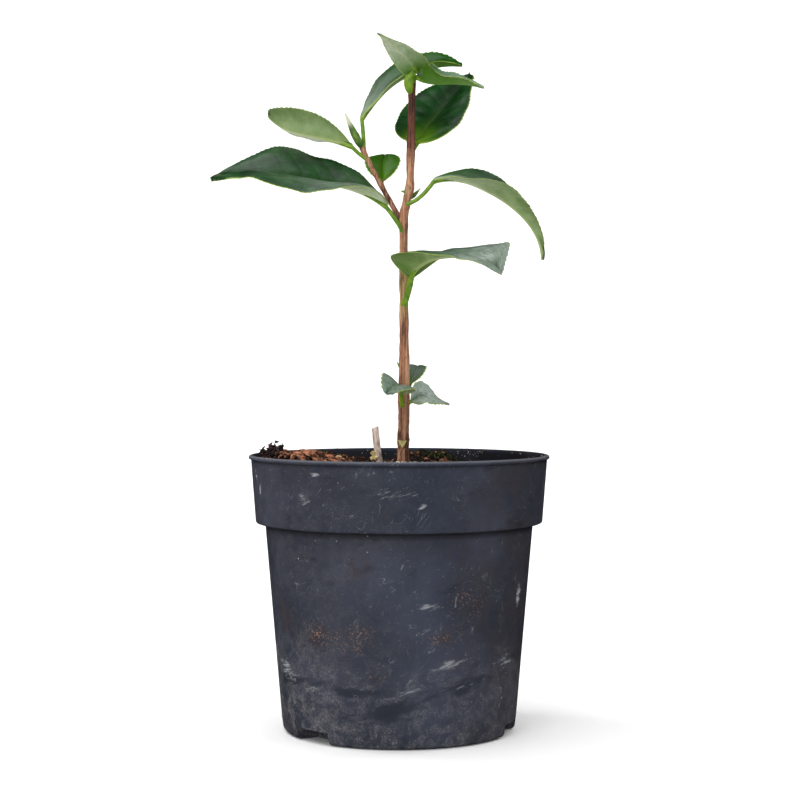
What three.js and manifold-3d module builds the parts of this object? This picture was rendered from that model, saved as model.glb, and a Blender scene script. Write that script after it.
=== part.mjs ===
// Young camellia shrub in its nursery pot.
// Millimetres, +Z up. The origin is the centre of the pot's flat underside, and -Y is the front.
import * as THREE from 'three';
import { mergeVertices } from 'three/addons/utils/BufferGeometryUtils.js';
import Module from 'manifold-3d';

const wasm = await Module();
wasm.setup();

// ---------------------------------------------------------------- driving dimensions
const CLEARANCE = 0.3; // gap between pieces that touch

const POT = {
  height: 156.5,
  wall: 1.6,
  floor: 1.8,
  footRadius: 66.4, // outer wall, where it would reach the ground
  cornerRadius: 3,
  innerCorner: 1.5,
  shoulderRadius: 76.5, // outer wall just under the collar
  collarBottom: 118,
  collarBottomRadius: 81.8,
  collarTopRadius: 84.7,
  lipRadius: 86,
  lipHeight: 2.3,
  chamfer: 0.6, // on the collar's and the lip's edges
  sides: 60,
};

const NOTCH = {
  headings: [-137, -16, 103], // degrees, seen from above
  halfWidth: 11.5, // degrees
  height: 7,
  innerRadius: 53,
  holeRadius: 3.5,
};

const SOIL = {
  level: 147.4, // round the foot of the stem
  bankRise: 4.5, // the left side is banked up
  backRise: 6.5, // and so is the back, as far as the middle
  rightDrop: 2.5,
  flatCentre: [-4.5, -6], // flat round the feet of the stem and the stub
  flatRadius: 22,
  rings: 10,
  sides: 40,
};

const STEM = {
  foot: SOIL.level + CLEARANCE,
  top: 369,
  sides: 12,
  rings: 26,
  // centre line: height and sideways position, with the kink above the fork
  line: [[140, 2.3], [156, 2.3], [210, 3], [284, 2.6], [299, 4.2], [309, 6.2], [325, 6.6], [369, 7.5]],
  footRadius: 3.4,
  forkRadius: 2.35,
  tipRadius: 2.15,
  forkHeight: 287,
  // swollen nodes, where leaves and shoots stand: height, extra radius, length
  nodes: [[147, 0.8, 5], [165, 0.3, 4], [186, 0.3, 6], [287, 0.2, 4], [308, 0.35, 4], [327, 0.25, 6]],
};

const SHOOT = {
  line: [[2.4, 0, 287], [-4, 0, 298.8], [-13.5, 0, 316], [-20.6, 0, 329.5]],
  footRadius: 1.55,
  tipRadius: 1.3,
  sides: 9,
};

const STUB = { foot: [-10.8, -12], top: [-13.7, -12, 172.6], radius: 2.1, sides: 10, cutSlope: -25 };

// Each bud is a pointed spindle: foot, tip and widest radius.
const BUDS = [
  { name: 'shoot_tip_bud', foot: [-21.2, -1.2, 329.6], tip: [-31, -2.2, 351.4], radius: 1.95, limb: 'shoot' },
  { name: 'axil_bud_right', foot: [6.6, 1, 302.4], tip: [12.5, 1.8, 308.7], radius: 1.1, limb: 'stem' },
  { name: 'axil_bud_left', foot: [5.2, -0.6, 306], tip: [0.8, -1.2, 306.6], radius: 0.9, limb: 'stem' },
  { name: 'low_bud', foot: [2.4, -0.4, 203.6], tip: [-1.3, -0.6, 209.6], radius: 0.9, limb: 'stem' },
];

// Every leaf stands on a limb by its stalk, which starts at foot inside the limb, curves towards bend
// and reaches the blade at base. heading is the compass direction of the midrib (0 is +X, 90 is +Y)
// and rise its slope, each given at the base, the middle and the tip of the blade. left and right say
// how far each half of the blade is lifted from level about the midrib, at the same three places.
// widest is the place of the greatest width, round the fullness of the base, taper that of the tip.
const LEAVES = [
  {
    name: 'leaf_crown_left', limb: 'stem',
    foot: [6.9, -0.8, 361], bend: [3.6, -5, 369], base: [9, -6, 373.6], stalk: 1.9,
    length: 43, width: 22, heading: [-119, -119, -119], rise: [24, 21, 18],
    left: [8, 8, 8], right: [22, 22, 22], widest: 0.3, round: 0.45, taper: 1.4,
  },
  {
    name: 'leaf_crown_right', limb: 'stem',
    foot: [7.4, 0.4, 365], bend: [10.6, 2, 370], base: [12.6, 2.4, 371], stalk: 1.1,
    length: 51, width: 25, heading: [-50, -40, -25], rise: [-8, -10, -20],
    left: [100, 40, 30], right: [75, 30, 15], widest: 0.4, round: 0.6, taper: 1,
  },
  {
    name: 'leaf_back_right', limb: 'stem',
    foot: [6.8, 0.4, 328], bend: [8.4, 3, 330.4], base: [10.4, 6, 334.5], stalk: 1.2,
    length: 82, width: 45, heading: [62, 60, 59], rise: [32, 36, 38],
    left: [0, 34, 40], right: [0, 20, 26], widest: 0.4, round: 0.45, taper: 0.8,
  },
  {
    name: 'leaf_shoot_arch', limb: 'shoot',
    foot: [-19.9, 0.2, 328.2], bend: [-20, 2.4, 338], base: [-21, 3, 348], stalk: 1.15,
    length: 75, width: 29, heading: [26, 20, 12], rise: [60, 27, -8],
    left: [10, 32, 72], right: [10, 10, 5], widest: 0.5, round: 0.85, taper: 0.7,
  },
  {
    name: 'leaf_shoot_left', limb: 'shoot',
    foot: [-18.8, -0.2, 325], bend: [-22.8, -1, 327.2], base: [-26.4, -1.6, 331.4], stalk: 1.1,
    length: 52, width: 28, heading: [178, 172, 150], rise: [26, 12, 34],
    left: [72, 78, 78], right: [-2, -4, 0], widest: 0.62, round: 0.8, taper: 0.42,
  },
  {
    name: 'leaf_shoot_back', limb: 'shoot',
    foot: [-8.4, 0.4, 306.6], bend: [-9.4, 3.4, 308.4], base: [-9.6, 4.4, 312], stalk: 0.9,
    length: 23, width: 21, heading: [90, 85, 80], rise: [72, 50, 15],
    left: [10, 10, 10], right: [10, 10, 10], widest: 0.55, round: 0.8, taper: 0.5,
  },
  {
    name: 'leaf_left_long', limb: 'stem',
    foot: [2.2, -0.8, 283.4], bend: [-1, -3, 289.5], base: [-7.3, -3, 297.2], stalk: 1.25,
    length: 103, width: 40, heading: [184, 188, 188], rise: [38, 3, -4],
    left: [75, -33, 35], right: [62, 52, 74], wave: [8, 1.3, 0.4], widest: 0.58, round: 0.7, taper: 1,
  },
  {
    name: 'leaf_right_arch', limb: 'stem',
    foot: [4.4, -1, 299], bend: [12.2, -3, 300.8], base: [19.9, -5, 311.6], stalk: 1.2,
    length: 85, width: 22, heading: [5, 0, -5], rise: [15, -36, -86],
    left: [42, 38, 36], right: [-30, 25, 60], widest: 0.45, round: 0.8, taper: 1.1,
  },
  {
    name: 'leaf_middle_twist', limb: 'stem',
    foot: [2.8, -0.8, 240], bend: [5, -5, 246.6], base: [6.9, -8, 256], stalk: 1.5,
    length: 69, width: 40, heading: [-88, -12, -80], rise: [42, 6, -48],
    left: [55, 0, 92], right: [38, -8, 0], widest: 0.5, round: 0.38, taper: 0.42,
  },
  {
    name: 'leaf_low_front', limb: 'stem',
    foot: [2.6, -0.8, 182], bend: [1.4, -5, 186], base: [1.2, -6.6, 192.8], stalk: 1.2,
    length: 25, width: 21, heading: [-88, -110, -122], rise: [40, 0, -40],
    left: [-30, -10, -10], right: [20, 45, 60], widest: 0.5, round: 0.5, taper: 0.6,
  },
  {
    name: 'leaf_low_back', limb: 'stem',
    foot: [3, 0.6, 188], bend: [5.2, 4.4, 190.4], base: [6.6, 7, 196.6], stalk: 0.9,
    length: 21, width: 16, heading: [80, 75, 70], rise: [65, 30, -10],
    left: [10, 10, 10], right: [5, 5, 5], widest: 0.5, round: 0.7, taper: 0.5,
  },
  {
    name: 'leaf_low_right', limb: 'stem',
    foot: [3, -0.2, 182], bend: [5, -0.8, 184.8], base: [6.7, -1, 187], stalk: 1,
    length: 25, width: 17, heading: [25, 0, -15], rise: [28, -8, -28],
    left: [78, 26, -5], right: [-28, -22, -30], widest: 0.22, round: 0.5, taper: 1.2,
  },
];

const LEAF_MESH = { longSteps: 14, halfSteps: 3, shortSteps: 10, shortHalfSteps: 2, shortLength: 30 };
const STALK_MESH = { sides: 8, steps: 6 };
const LEAF_THICKNESS = 1.1; // at least a hundredth of the longest leaf
const LEAF_EDGE = 0.5; // least half width of a blade, at its two ends
const STALK_OVERLAP = 0.14; // share of the blade that the stalk runs into as its midrib
const STALK_END = 0.62; // the stalk's radius there, as a share of its full radius

// Bark chips that lie on the soil: place, middle over the soil, size and turn about Z and lengthwise.
const CHIPS = [
  { at: [-58, -8], over: 3.2, size: [22, 11, 6], turn: 14, tilt: 12 },
  { at: [-50, 14], over: 3.4, size: [17, 12, 7], turn: -28, tilt: -15 },
  { at: [-41, -14], over: 2, size: [15, 8, 5], turn: 35, tilt: 8 },
  { at: [-33, 3], over: 2.8, size: [18, 10, 6], turn: -8, tilt: -10 },
  { at: [-27, -22], over: 2, size: [13, 8, 5], turn: 52, tilt: 14 },
  { at: [-66, 20], over: 2.6, size: [14, 9, 6], turn: 66, tilt: -8 },
  { at: [-44, 38], over: 2.4, size: [18, 9, 6], turn: 40, tilt: 12 },
  { at: [-18, 20], over: 2, size: [13, 9, 5], turn: -45, tilt: 6 },
  { at: [8, 26], over: 1.8, size: [12, 8, 5], turn: 20, tilt: -9 },
  { at: [22, 44], over: 1.8, size: [15, 8, 5], turn: -60, tilt: 10 },
  { at: [-52, -38], over: 2, size: [15, 9, 5], turn: -38, tilt: 9 },
  { at: [-20, -48], over: 1.8, size: [12, 8, 5], turn: 8, tilt: -7 },
];

// Cushions of dry moss by the left wall and green moss by the back wall.
const MOSS = [
  { at: [-72, 2], over: 3.5, radii: [8, 8, 6] },
  { at: [-74, -9], over: 4, radii: [5.5, 6, 6.5] },
  { at: [-66, 9], over: 2.5, radii: [6, 6, 5] },
  { at: [16, 66], over: 1, radii: [11, 8, 5] },
  { at: [29, 62], over: 0.6, radii: [9, 7, 4.5] },
];

const FINISH = {
  pot: new THREE.MeshStandardMaterial({ color: 0x3c3f48, roughness: 0.55, metalness: 0 }),
  soil: new THREE.MeshStandardMaterial({ color: 0x3a2a22, roughness: 0.95, metalness: 0 }),
  bark: new THREE.MeshStandardMaterial({ color: 0x8a6248, roughness: 0.8, metalness: 0 }),
  deadWood: new THREE.MeshStandardMaterial({ color: 0xa6907f, roughness: 0.9, metalness: 0 }),
  bud: new THREE.MeshStandardMaterial({ color: 0x4f7a1d, roughness: 0.5, metalness: 0 }),
  leaf: new THREE.MeshStandardMaterial({ color: 0x24512b, roughness: 0.35, metalness: 0 }),
};

// ---------------------------------------------------------------- solids
function solidFrom(geometry) {
  const bare = geometry.clone();
  bare.deleteAttribute('normal');
  bare.deleteAttribute('uv');
  const merged = mergeVertices(bare, 1e-4);
  return new wasm.Manifold(new wasm.Mesh({
    numProp: 3,
    vertProperties: new Float32Array(merged.attributes.position.array),
    triVerts: new Uint32Array(merged.index.array),
  }));
}

function geometryFrom(solid) {
  const mesh = solid.getMesh();
  const geometry = new THREE.BufferGeometry();
  geometry.setAttribute('position', new THREE.BufferAttribute(mesh.vertProperties, 3));
  geometry.setIndex(new THREE.BufferAttribute(mesh.triVerts, 1));
  return geometry;
}

function piece(name, solid, material) {
  const mesh = new THREE.Mesh(geometryFrom(solid), material);
  mesh.name = name;
  return mesh;
}

// A profile of [radius, height] points turned about Z. It starts and ends on the axis.
function turned(profile, sides) {
  const points = profile.map(([radius, height]) => new THREE.Vector2(radius, height));
  return solidFrom(new THREE.LatheGeometry(points, sides).rotateX(Math.PI / 2));
}

// Rings of points, each counter-clockwise about the way they run, skinned and closed at both ends.
function skin(rings) {
  const count = rings[0].length;
  const positions = rings.flat().flatMap((point) => [point.x, point.y, point.z]);
  const triangles = [];
  for (let ring = 0; ring < rings.length - 1; ring++) {
    for (let side = 0; side < count; side++) {
      const a = ring * count + side;
      const b = ring * count + (side + 1) % count;
      triangles.push(a, b, b + count, a, b + count, a + count);
    }
  }
  const addCap = (ring, flip) => {
    const middle = new THREE.Vector3();
    rings[ring].forEach((point) => middle.addScaledVector(point, 1 / count));
    const centre = positions.length / 3;
    positions.push(middle.x, middle.y, middle.z);
    for (let side = 0; side < count; side++) {
      const a = ring * count + side;
      const b = ring * count + (side + 1) % count;
      triangles.push(centre, flip ? b : a, flip ? a : b);
    }
  };
  addCap(0, true);
  addCap(rings.length - 1, false);
  const geometry = new THREE.BufferGeometry();
  geometry.setAttribute('position', new THREE.Float32BufferAttribute(positions, 3));
  geometry.setIndex(triangles);
  return solidFrom(geometry);
}

// A round limb along a curve, whose radius is a function of the share of the curve passed.
function limbAlong(curve, radiusAt, sides, steps) {
  const frames = curve.computeFrenetFrames(steps, false);
  const rings = [];
  for (let step = 0; step <= steps; step++) {
    const share = step / steps;
    const centre = curve.getPointAt(share);
    const ring = [];
    for (let side = 0; side < sides; side++) {
      const angle = 2 * Math.PI * side / sides;
      ring.push(centre.clone()
        .addScaledVector(frames.normals[step], radiusAt(share, centre) * Math.cos(angle))
        .addScaledVector(frames.binormals[step], radiusAt(share, centre) * Math.sin(angle)));
    }
    rings.push(ring);
  }
  return skin(rings);
}

const vector = ([x, y, z]) => new THREE.Vector3(x, y, z);
const mix = (a, b, share) => a + (b - a) * share;
const radians = THREE.MathUtils.degToRad;
const smooth = THREE.MathUtils.smoothstep;

// ---------------------------------------------------------------- pot
function wallRadius(height) {
  return mix(POT.footRadius, POT.shoulderRadius, height / POT.collarBottom);
}

function collarRadius(height) {
  const share = (height - POT.collarBottom) / (POT.height - POT.lipHeight - POT.collarBottom);
  return mix(POT.collarBottomRadius, POT.collarTopRadius, share);
}

// The outside of the pot as a full block: rounded foot, tapered wall, stepped collar and lip.
function potOutside() {
  const profile = [[0, 0]];
  const corner = POT.cornerRadius;
  for (const turn of [0, 30, 60, 90]) {
    const along = wallRadius(0) - corner + corner * Math.sin(radians(turn));
    profile.push([along, corner - corner * Math.cos(radians(turn))]);
  }
  const lipFoot = POT.height - POT.lipHeight;
  profile.push([POT.shoulderRadius, POT.collarBottom]);
  profile.push([POT.collarBottomRadius - POT.chamfer, POT.collarBottom]);
  profile.push([POT.collarBottomRadius, POT.collarBottom + POT.chamfer]);
  profile.push([POT.collarTopRadius, lipFoot]);
  profile.push([POT.lipRadius, lipFoot + POT.chamfer]);
  profile.push([POT.lipRadius, POT.height - POT.chamfer]);
  profile.push([POT.lipRadius - POT.chamfer, POT.height]);
  profile.push([0, POT.height]);
  return turned(profile, POT.sides);
}

// The inside of the pot as a block, drawn in by inset and filled up to the given level.
function potInside(inset, level) {
  const low = POT.floor + inset;
  const ledge = POT.collarBottom + POT.wall + inset;
  const drawIn = POT.wall + inset;
  return turned([
    [0, low],
    [wallRadius(low) - drawIn - POT.innerCorner, low],
    [wallRadius(low + POT.innerCorner) - drawIn, low + POT.innerCorner],
    [wallRadius(ledge) - drawIn, ledge],
    [collarRadius(ledge) - drawIn, ledge],
    [collarRadius(level) - drawIn, level],
    [0, level],
  ], POT.sides);
}

// The drainage notches under the pot's edge, as blocks grown by the given amount on every side.
function notchBlocks(grow) {
  const outer = POT.lipRadius;
  const inner = NOTCH.innerRadius - grow;
  const height = NOTCH.height + grow;
  return NOTCH.headings.map((heading) => {
    const half = radians(NOTCH.halfWidth) + grow / POT.footRadius;
    const outline = new THREE.Shape();
    outline.absarc(0, 0, outer, radians(heading) - half, radians(heading) + half, false);
    outline.absarc(0, 0, inner, radians(heading) + half, radians(heading) - half, true);
    outline.closePath();
    const options = { depth: height + NOTCH.height, bevelEnabled: false, curveSegments: 6 };
    return solidFrom(new THREE.ExtrudeGeometry(outline, options).translate(0, 0, -NOTCH.height));
  });
}

function drainHoles() {
  const radius = (NOTCH.innerRadius + wallRadius(0)) / 2;
  return NOTCH.headings.map((heading) => {
    const bore = new THREE.CylinderGeometry(NOTCH.holeRadius, NOTCH.holeRadius, 12, 16).rotateX(Math.PI / 2);
    bore.translate(radius * Math.cos(radians(heading)), radius * Math.sin(radians(heading)), NOTCH.height);
    return solidFrom(bore);
  });
}

function buildPot() {
  let shell = potOutside();
  let hollow = potInside(0, POT.height + 2);
  for (const block of notchBlocks(0)) shell = shell.subtract(block);
  for (const block of notchBlocks(POT.wall)) hollow = hollow.subtract(block);
  shell = shell.subtract(hollow);
  for (const bore of drainHoles()) shell = shell.subtract(bore);
  return shell;
}

// ---------------------------------------------------------------- soil, bark chips and moss
// Height of the soil: level round the stem, banked up to the left and the back, lower to the right.
function soilHeight(x, y) {
  const back = SOIL.backRise * smooth(y, 25, 70) * smooth(50 - x, 8, 26);
  const bank = Math.max(SOIL.bankRise * smooth(-x, 5, 50), back);
  const drop = SOIL.rightDrop * smooth(x, 20, 70);
  const ripple = 0.7 * Math.sin(x / 7 + 1) * Math.cos(y / 9);
  const [flatX, flatY] = SOIL.flatCentre;
  const away = smooth(Math.hypot(x - flatX, y - flatY), SOIL.flatRadius, 2 * SOIL.flatRadius);
  return SOIL.level + away * (bank - drop + ripple);
}

// The space under the soil's surface, as rings from its foot out over the wall and in to the middle.
function soilBlock() {
  const reach = POT.lipRadius + POT.wall;
  const ringAt = (radius, heightAt) => {
    const ring = [];
    for (let side = 0; side < SOIL.sides; side++) {
      const angle = 2 * Math.PI * side / SOIL.sides;
      const x = radius * Math.cos(angle);
      const y = radius * Math.sin(angle);
      ring.push(new THREE.Vector3(x, y, heightAt(x, y)));
    }
    return ring;
  };
  const rings = [ringAt(reach, () => 0)];
  for (let step = 0; step < SOIL.rings; step++) {
    rings.push(ringAt(reach * (1 - step / SOIL.rings), soilHeight));
  }
  return skin(rings);
}

function chipBlock({ at, over, size, turn, tilt }) {
  const block = new THREE.BoxGeometry(...size);
  const corners = block.attributes.position;
  for (let corner = 0; corner < corners.count; corner++) {
    const side = Math.sign(corners.getX(corner));
    if (corners.getZ(corner) > 0) corners.setX(corner, corners.getX(corner) - side * size[0] * 0.16);
  }
  block.rotateX(radians(tilt)).rotateZ(radians(turn));
  return solidFrom(block.translate(...at, soilHeight(...at) + over));
}

function mossBlock({ at, over, radii }) {
  const ball = new THREE.IcosahedronGeometry(1, 1).scale(...radii);
  return solidFrom(ball.translate(...at, soilHeight(...at) + over));
}

function buildSoil() {
  let soil = soilBlock();
  for (const chip of CHIPS) soil = soil.add(chipBlock(chip));
  for (const cushion of MOSS) soil = soil.add(mossBlock(cushion));
  soil = soil.intersect(potInside(CLEARANCE, POT.height + 12));
  for (const block of notchBlocks(POT.wall + CLEARANCE)) soil = soil.subtract(block);
  return soil;
}

// ---------------------------------------------------------------- woody limbs
function stemRadius(height) {
  const lower = mix(STEM.footRadius, STEM.forkRadius, smooth(height, STEM.foot, STEM.forkHeight));
  const upper = mix(0, STEM.forkRadius - STEM.tipRadius, smooth(height, STEM.forkHeight, STEM.top));
  return STEM.nodes.reduce(
    (radius, [at, extra, length]) => radius + extra * Math.exp(-(((height - at) / length) ** 2)),
    lower - upper,
  );
}

function stemSolid(grow) {
  const points = STEM.line.map(([height, x]) => new THREE.Vector3(x, 0, height));
  points.at(-1).z += grow;
  const curve = new THREE.CatmullRomCurve3(points);
  const limb = limbAlong(curve, (share, centre) => stemRadius(centre.z) + grow, STEM.sides, STEM.rings);
  const block = 40;
  const below = new THREE.BoxGeometry(block, block, block);
  below.translate(STEM.line[0][1], 0, STEM.foot - grow - block / 2);
  return limb.subtract(solidFrom(below));
}

function shootSolid(grow) {
  const points = SHOOT.line.map(vector);
  points.at(-1).addScaledVector(points.at(-1).clone().sub(points.at(-2)).normalize(), grow);
  const curve = new THREE.CatmullRomCurve3(points);
  const radiusAt = (share) => mix(SHOOT.footRadius, SHOOT.tipRadius, share) + grow;
  return limbAlong(curve, radiusAt, SHOOT.sides, 8);
}

function stubSolid() {
  const block = 20;
  const ground = SOIL.level + CLEARANCE;
  const foot = new THREE.Vector3(...STUB.foot, ground);
  const top = vector(STUB.top);
  const lean = top.clone().sub(foot).normalize();
  const line = new THREE.LineCurve3(
    foot.addScaledVector(lean, -STUB.radius),
    top.clone().addScaledVector(lean, STUB.radius),
  );
  const limb = limbAlong(line, () => STUB.radius, STUB.sides, 3);
  const above = new THREE.BoxGeometry(block, block, block).translate(0, 0, block / 2);
  const below = new THREE.BoxGeometry(block, block, block).translate(...STUB.foot, ground - block / 2);
  above.rotateY(radians(STUB.cutSlope)).translate(top.x, top.y, top.z);
  return limb.subtract(solidFrom(above)).subtract(solidFrom(below));
}

function budSolid({ foot, tip, radius }) {
  const swell = (share) => radius * Math.max(Math.sin(Math.PI * (0.1 + 0.88 * share)), 0.12) ** 0.8;
  return limbAlong(new THREE.LineCurve3(vector(foot), vector(tip)), swell, 8, 6);
}

// ---------------------------------------------------------------- leaves
// A value given at the base, the middle and the tip, joined by one parabola.
function along([base, middle, tip], share) {
  const rest = 1 - share;
  return base * rest * (1 - 2 * share) + 4 * middle * share * rest + tip * share * (2 * share - 1);
}

function midribDirection(leaf, share) {
  const heading = radians(along(leaf.heading, share));
  const rise = radians(along(leaf.rise, share));
  return new THREE.Vector3(
    Math.cos(rise) * Math.cos(heading),
    Math.cos(rise) * Math.sin(heading),
    Math.sin(rise),
  );
}

// Points of the midrib: the direction summed up in small steps from the base.
function midribPoints(leaf, steps) {
  const fineness = 12;
  const stride = leaf.length / steps / fineness;
  const point = vector(leaf.base);
  const points = [point.clone()];
  for (let step = 0; step < steps; step++) {
    for (let fine = 0; fine < fineness; fine++) {
      point.addScaledVector(midribDirection(leaf, (step + (fine + 0.5) / fineness) / steps), stride);
    }
    points.push(point.clone());
  }
  return points;
}

function halfWidth(leaf, share) {
  const { width, widest, round, taper } = leaf;
  const swell = share < widest
    ? Math.sin(Math.PI / 2 * share / widest) ** round
    : Math.cos(Math.PI / 2 * Math.min((share - widest) / (1 - widest), 1)) ** taper;
  return Math.max(width / 2 * swell, LEAF_EDGE);
}

// How far a half of the blade is lifted. The right half may also wave: size, count and start.
function lift(leaf, share, side) {
  const angle = along(side < 0 ? leaf.left : leaf.right, share);
  if (side < 0 || !leaf.wave) return radians(angle);
  const [size, count, start] = leaf.wave;
  return radians(angle + size * Math.sin(2 * Math.PI * (count * share + start)) * Math.sin(Math.PI * share));
}

// One ring of the blade: the upper face from left to right, and back along the lower face.
function bladeRing(leaf, share, centre, halfSteps) {
  const direction = midribDirection(leaf, share);
  const heading = radians(along(leaf.heading, share));
  const across = new THREE.Vector3(Math.sin(heading), -Math.cos(heading), 0);
  const up = new THREE.Vector3().crossVectors(across, direction);
  const reach = halfWidth(leaf, share);
  const half = LEAF_THICKNESS / 2 * Math.min(1, Math.max(reach / 3, 0.35));
  const upper = [];
  const lower = [];
  for (let step = -halfSteps; step <= halfSteps; step++) {
    const side = Math.sign(step);
    const angle = side === 0 ? 0 : lift(leaf, share, side);
    const [level, rise] = [Math.cos(angle), Math.sin(angle)];
    const outward = across.clone().multiplyScalar(side * level).addScaledVector(up, rise);
    const normal = up.clone().multiplyScalar(level).addScaledVector(across, -side * rise);
    const middle = centre.clone().addScaledVector(outward, reach * Math.abs(step) / halfSteps);
    upper.push(middle.clone().addScaledVector(normal, half));
    lower.unshift(middle.clone().addScaledVector(normal, -half));
  }
  return [...upper, ...lower];
}

function bladeSolid(leaf) {
  const isShort = leaf.length < LEAF_MESH.shortLength;
  const steps = isShort ? LEAF_MESH.shortSteps : LEAF_MESH.longSteps;
  const halfSteps = isShort ? LEAF_MESH.shortHalfSteps : LEAF_MESH.halfSteps;
  const middles = midribPoints(leaf, steps);
  return skin(middles.map((middle, step) => bladeRing(leaf, step / steps, middle, halfSteps)));
}

// The stalk leaves the limb and bends into the midrib, on which it runs out under the blade.
function stalkSolid(leaf) {
  const base = vector(leaf.base);
  const path = new THREE.QuadraticBezierCurve3(vector(leaf.foot), vector(leaf.bend), base);
  const end = midribPoints(leaf, 20)[Math.round(20 * STALK_OVERLAP)];
  const curve = new THREE.CatmullRomCurve3([...path.getPoints(6), end]);
  const radiusAt = (share) => leaf.stalk * mix(1, STALK_END, smooth(share, 0.8, 1));
  return limbAlong(curve, radiusAt, STALK_MESH.sides, STALK_MESH.steps);
}

// ---------------------------------------------------------------- assembly
const cutters = { stem: stemSolid(CLEARANCE), shoot: shootSolid(CLEARANCE) };

const potGroup = new THREE.Group();
potGroup.add(piece('pot', buildPot(), FINISH.pot));
potGroup.add(piece('soil', buildSoil(), FINISH.soil));

const woodGroup = new THREE.Group();
woodGroup.add(piece('main_stem', stemSolid(0), FINISH.bark));
woodGroup.add(piece('side_shoot', shootSolid(0).subtract(cutters.stem), FINISH.bark));
woodGroup.add(piece('cut_stub', stubSolid(), FINISH.deadWood));

const budGroup = new THREE.Group();
for (const bud of BUDS) {
  budGroup.add(piece(bud.name, budSolid(bud).subtract(cutters[bud.limb]), FINISH.bud));
}

const leafGroup = new THREE.Group();
for (const leaf of LEAVES) {
  const whole = bladeSolid(leaf).add(stalkSolid(leaf));
  leafGroup.add(piece(leaf.name, whole.subtract(cutters.stem).subtract(cutters.shoot), FINISH.leaf));
}

const shrub = new THREE.Group();
shrub.add(potGroup, woodGroup, budGroup, leafGroup);

export default shrub;
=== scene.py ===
"""A young camellia in its nursery pot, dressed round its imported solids.

Metres, +Z up. The origin is the centre of the pot's flat underside and -Y is the front. Lengths that
are easier to read in millimetres are written as numbers times MM.
"""

from __future__ import annotations

import logging
import math
from dataclasses import dataclass, field
from enum import Enum
from typing import ClassVar

import bpy
import numpy as np
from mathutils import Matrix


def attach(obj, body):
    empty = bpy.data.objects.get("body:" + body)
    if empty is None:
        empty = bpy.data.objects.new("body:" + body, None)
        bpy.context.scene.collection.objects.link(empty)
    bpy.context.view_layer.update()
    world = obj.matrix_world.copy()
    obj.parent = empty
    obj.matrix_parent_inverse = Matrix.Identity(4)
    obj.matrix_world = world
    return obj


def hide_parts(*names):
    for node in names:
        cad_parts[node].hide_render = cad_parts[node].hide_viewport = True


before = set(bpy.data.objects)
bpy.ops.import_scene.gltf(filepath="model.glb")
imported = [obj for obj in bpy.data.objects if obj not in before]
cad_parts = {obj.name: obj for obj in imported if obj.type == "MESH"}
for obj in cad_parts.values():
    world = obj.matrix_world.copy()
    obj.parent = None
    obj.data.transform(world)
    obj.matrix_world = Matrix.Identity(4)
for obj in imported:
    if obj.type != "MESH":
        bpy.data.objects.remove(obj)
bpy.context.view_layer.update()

LOG = logging.getLogger("camellia")
MM = 0.001
BODY = "root"
Array = np.ndarray
Material = bpy.types.Material
TO_BACK = np.array([0, 1.0, 0])
Colour = tuple[float, float, float]


# ------------------------------------------------------------------------------------ arithmetic
def eased(value: Array, low: float, high: float) -> Array:
    """The share risen between low and high, along 3s^2 - 2s^3 with s kept between 0 and 1."""
    share = np.clip((value - low) / (high - low), 0.0, 1.0)
    return share * share * (3.0 - 2.0 * share)


def cubic(a: Array, b: Array, c: Array, d: Array, part: Array) -> Array:
    """The Catmull-Rom cubic from b to c, whose slope at each is half the step between its neighbours.

    Args:
        a: the value before b.
        b: the value at part 0.
        c: the value at part 1.
        d: the value after c.
        part: where to read the cubic.

    Returns:
        The cubic's values.
    """
    slope, bend, twist = c - a, 2 * a - 5 * b + 4 * c - d, 3 * b - a - 3 * c + d
    return 0.5 * (2 * b + slope * part + bend * part**2 + twist * part**3)


def along(values: tuple[float, ...], share: Array) -> Array:
    """A smooth run through values that stand at even shares from the base to the tip.

    Three values give one parabola, and more of them a run of Catmull-Rom cubics.

    Args:
        values: the values, the first at share 0 and the last at share 1.
        share: where to read the run.

    Returns:
        The run's values.
    """
    if len(values) == 3:
        base, middle, tip = values
        return (
            base * (1 - share) * (1 - 2 * share)
            + 4 * middle * share * (1 - share)
            + tip * share * (2 * share - 1)
        )
    stops = np.array([2 * values[0] - values[1], *values, 2 * values[-1] - values[-2]])
    place = share * (len(values) - 1)
    span = np.clip(np.floor(place).astype(int), 0, len(values) - 2)
    return cubic(*(stops[span + step] for step in range(4)), place - span)


def unit(vectors: Array) -> Array:
    """Vectors divided by their lengths."""
    return vectors / np.linalg.norm(vectors, axis=-1, keepdims=True)


def lattice_values(cells: Array, seed: int) -> Array:
    """A repeatable random value between 0 and 1 for each lattice cell, by mixing its integers.

    Args:
        cells: integer cell coordinates, three to a cell.
        seed: picks one of many patterns.

    Returns:
        One value for each cell.
    """
    mixed = cells[..., 0] * 73856093 ^ cells[..., 1] * 19349663 ^ cells[..., 2] * 83492791
    mixed = (mixed ^ (seed * 40503 + 12345)) & 0x7FFFFFFF
    mixed = (mixed ^ (mixed >> 13)) * 1274126177 & 0x7FFFFFFF
    mixed = (mixed ^ (mixed >> 15)) * 461845907 & 0x7FFFFFFF
    return ((mixed >> 7) & 0xFFFF) / 65535.0


def noise(points: Array, size: float, seed: int) -> Array:
    """Smooth noise: lattice values blended between the eight corners of each cell by eased weights.

    Args:
        points: places in space.
        size: length of a lattice cell.
        seed: picks one of many patterns.

    Returns:
        Values between 0 and 1.
    """
    scaled = points / size
    cell = np.floor(scaled).astype(np.int64)
    part = scaled - cell
    part = part * part * (3 - 2 * part)
    total = np.zeros(points.shape[:-1])
    for corner in range(8):
        step = np.array([corner & 1, corner >> 1 & 1, corner >> 2 & 1])
        weight = np.prod(np.where(step == 1, part, 1 - part), axis=-1)
        total += weight * lattice_values(cell + step, seed)
    return total


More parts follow.
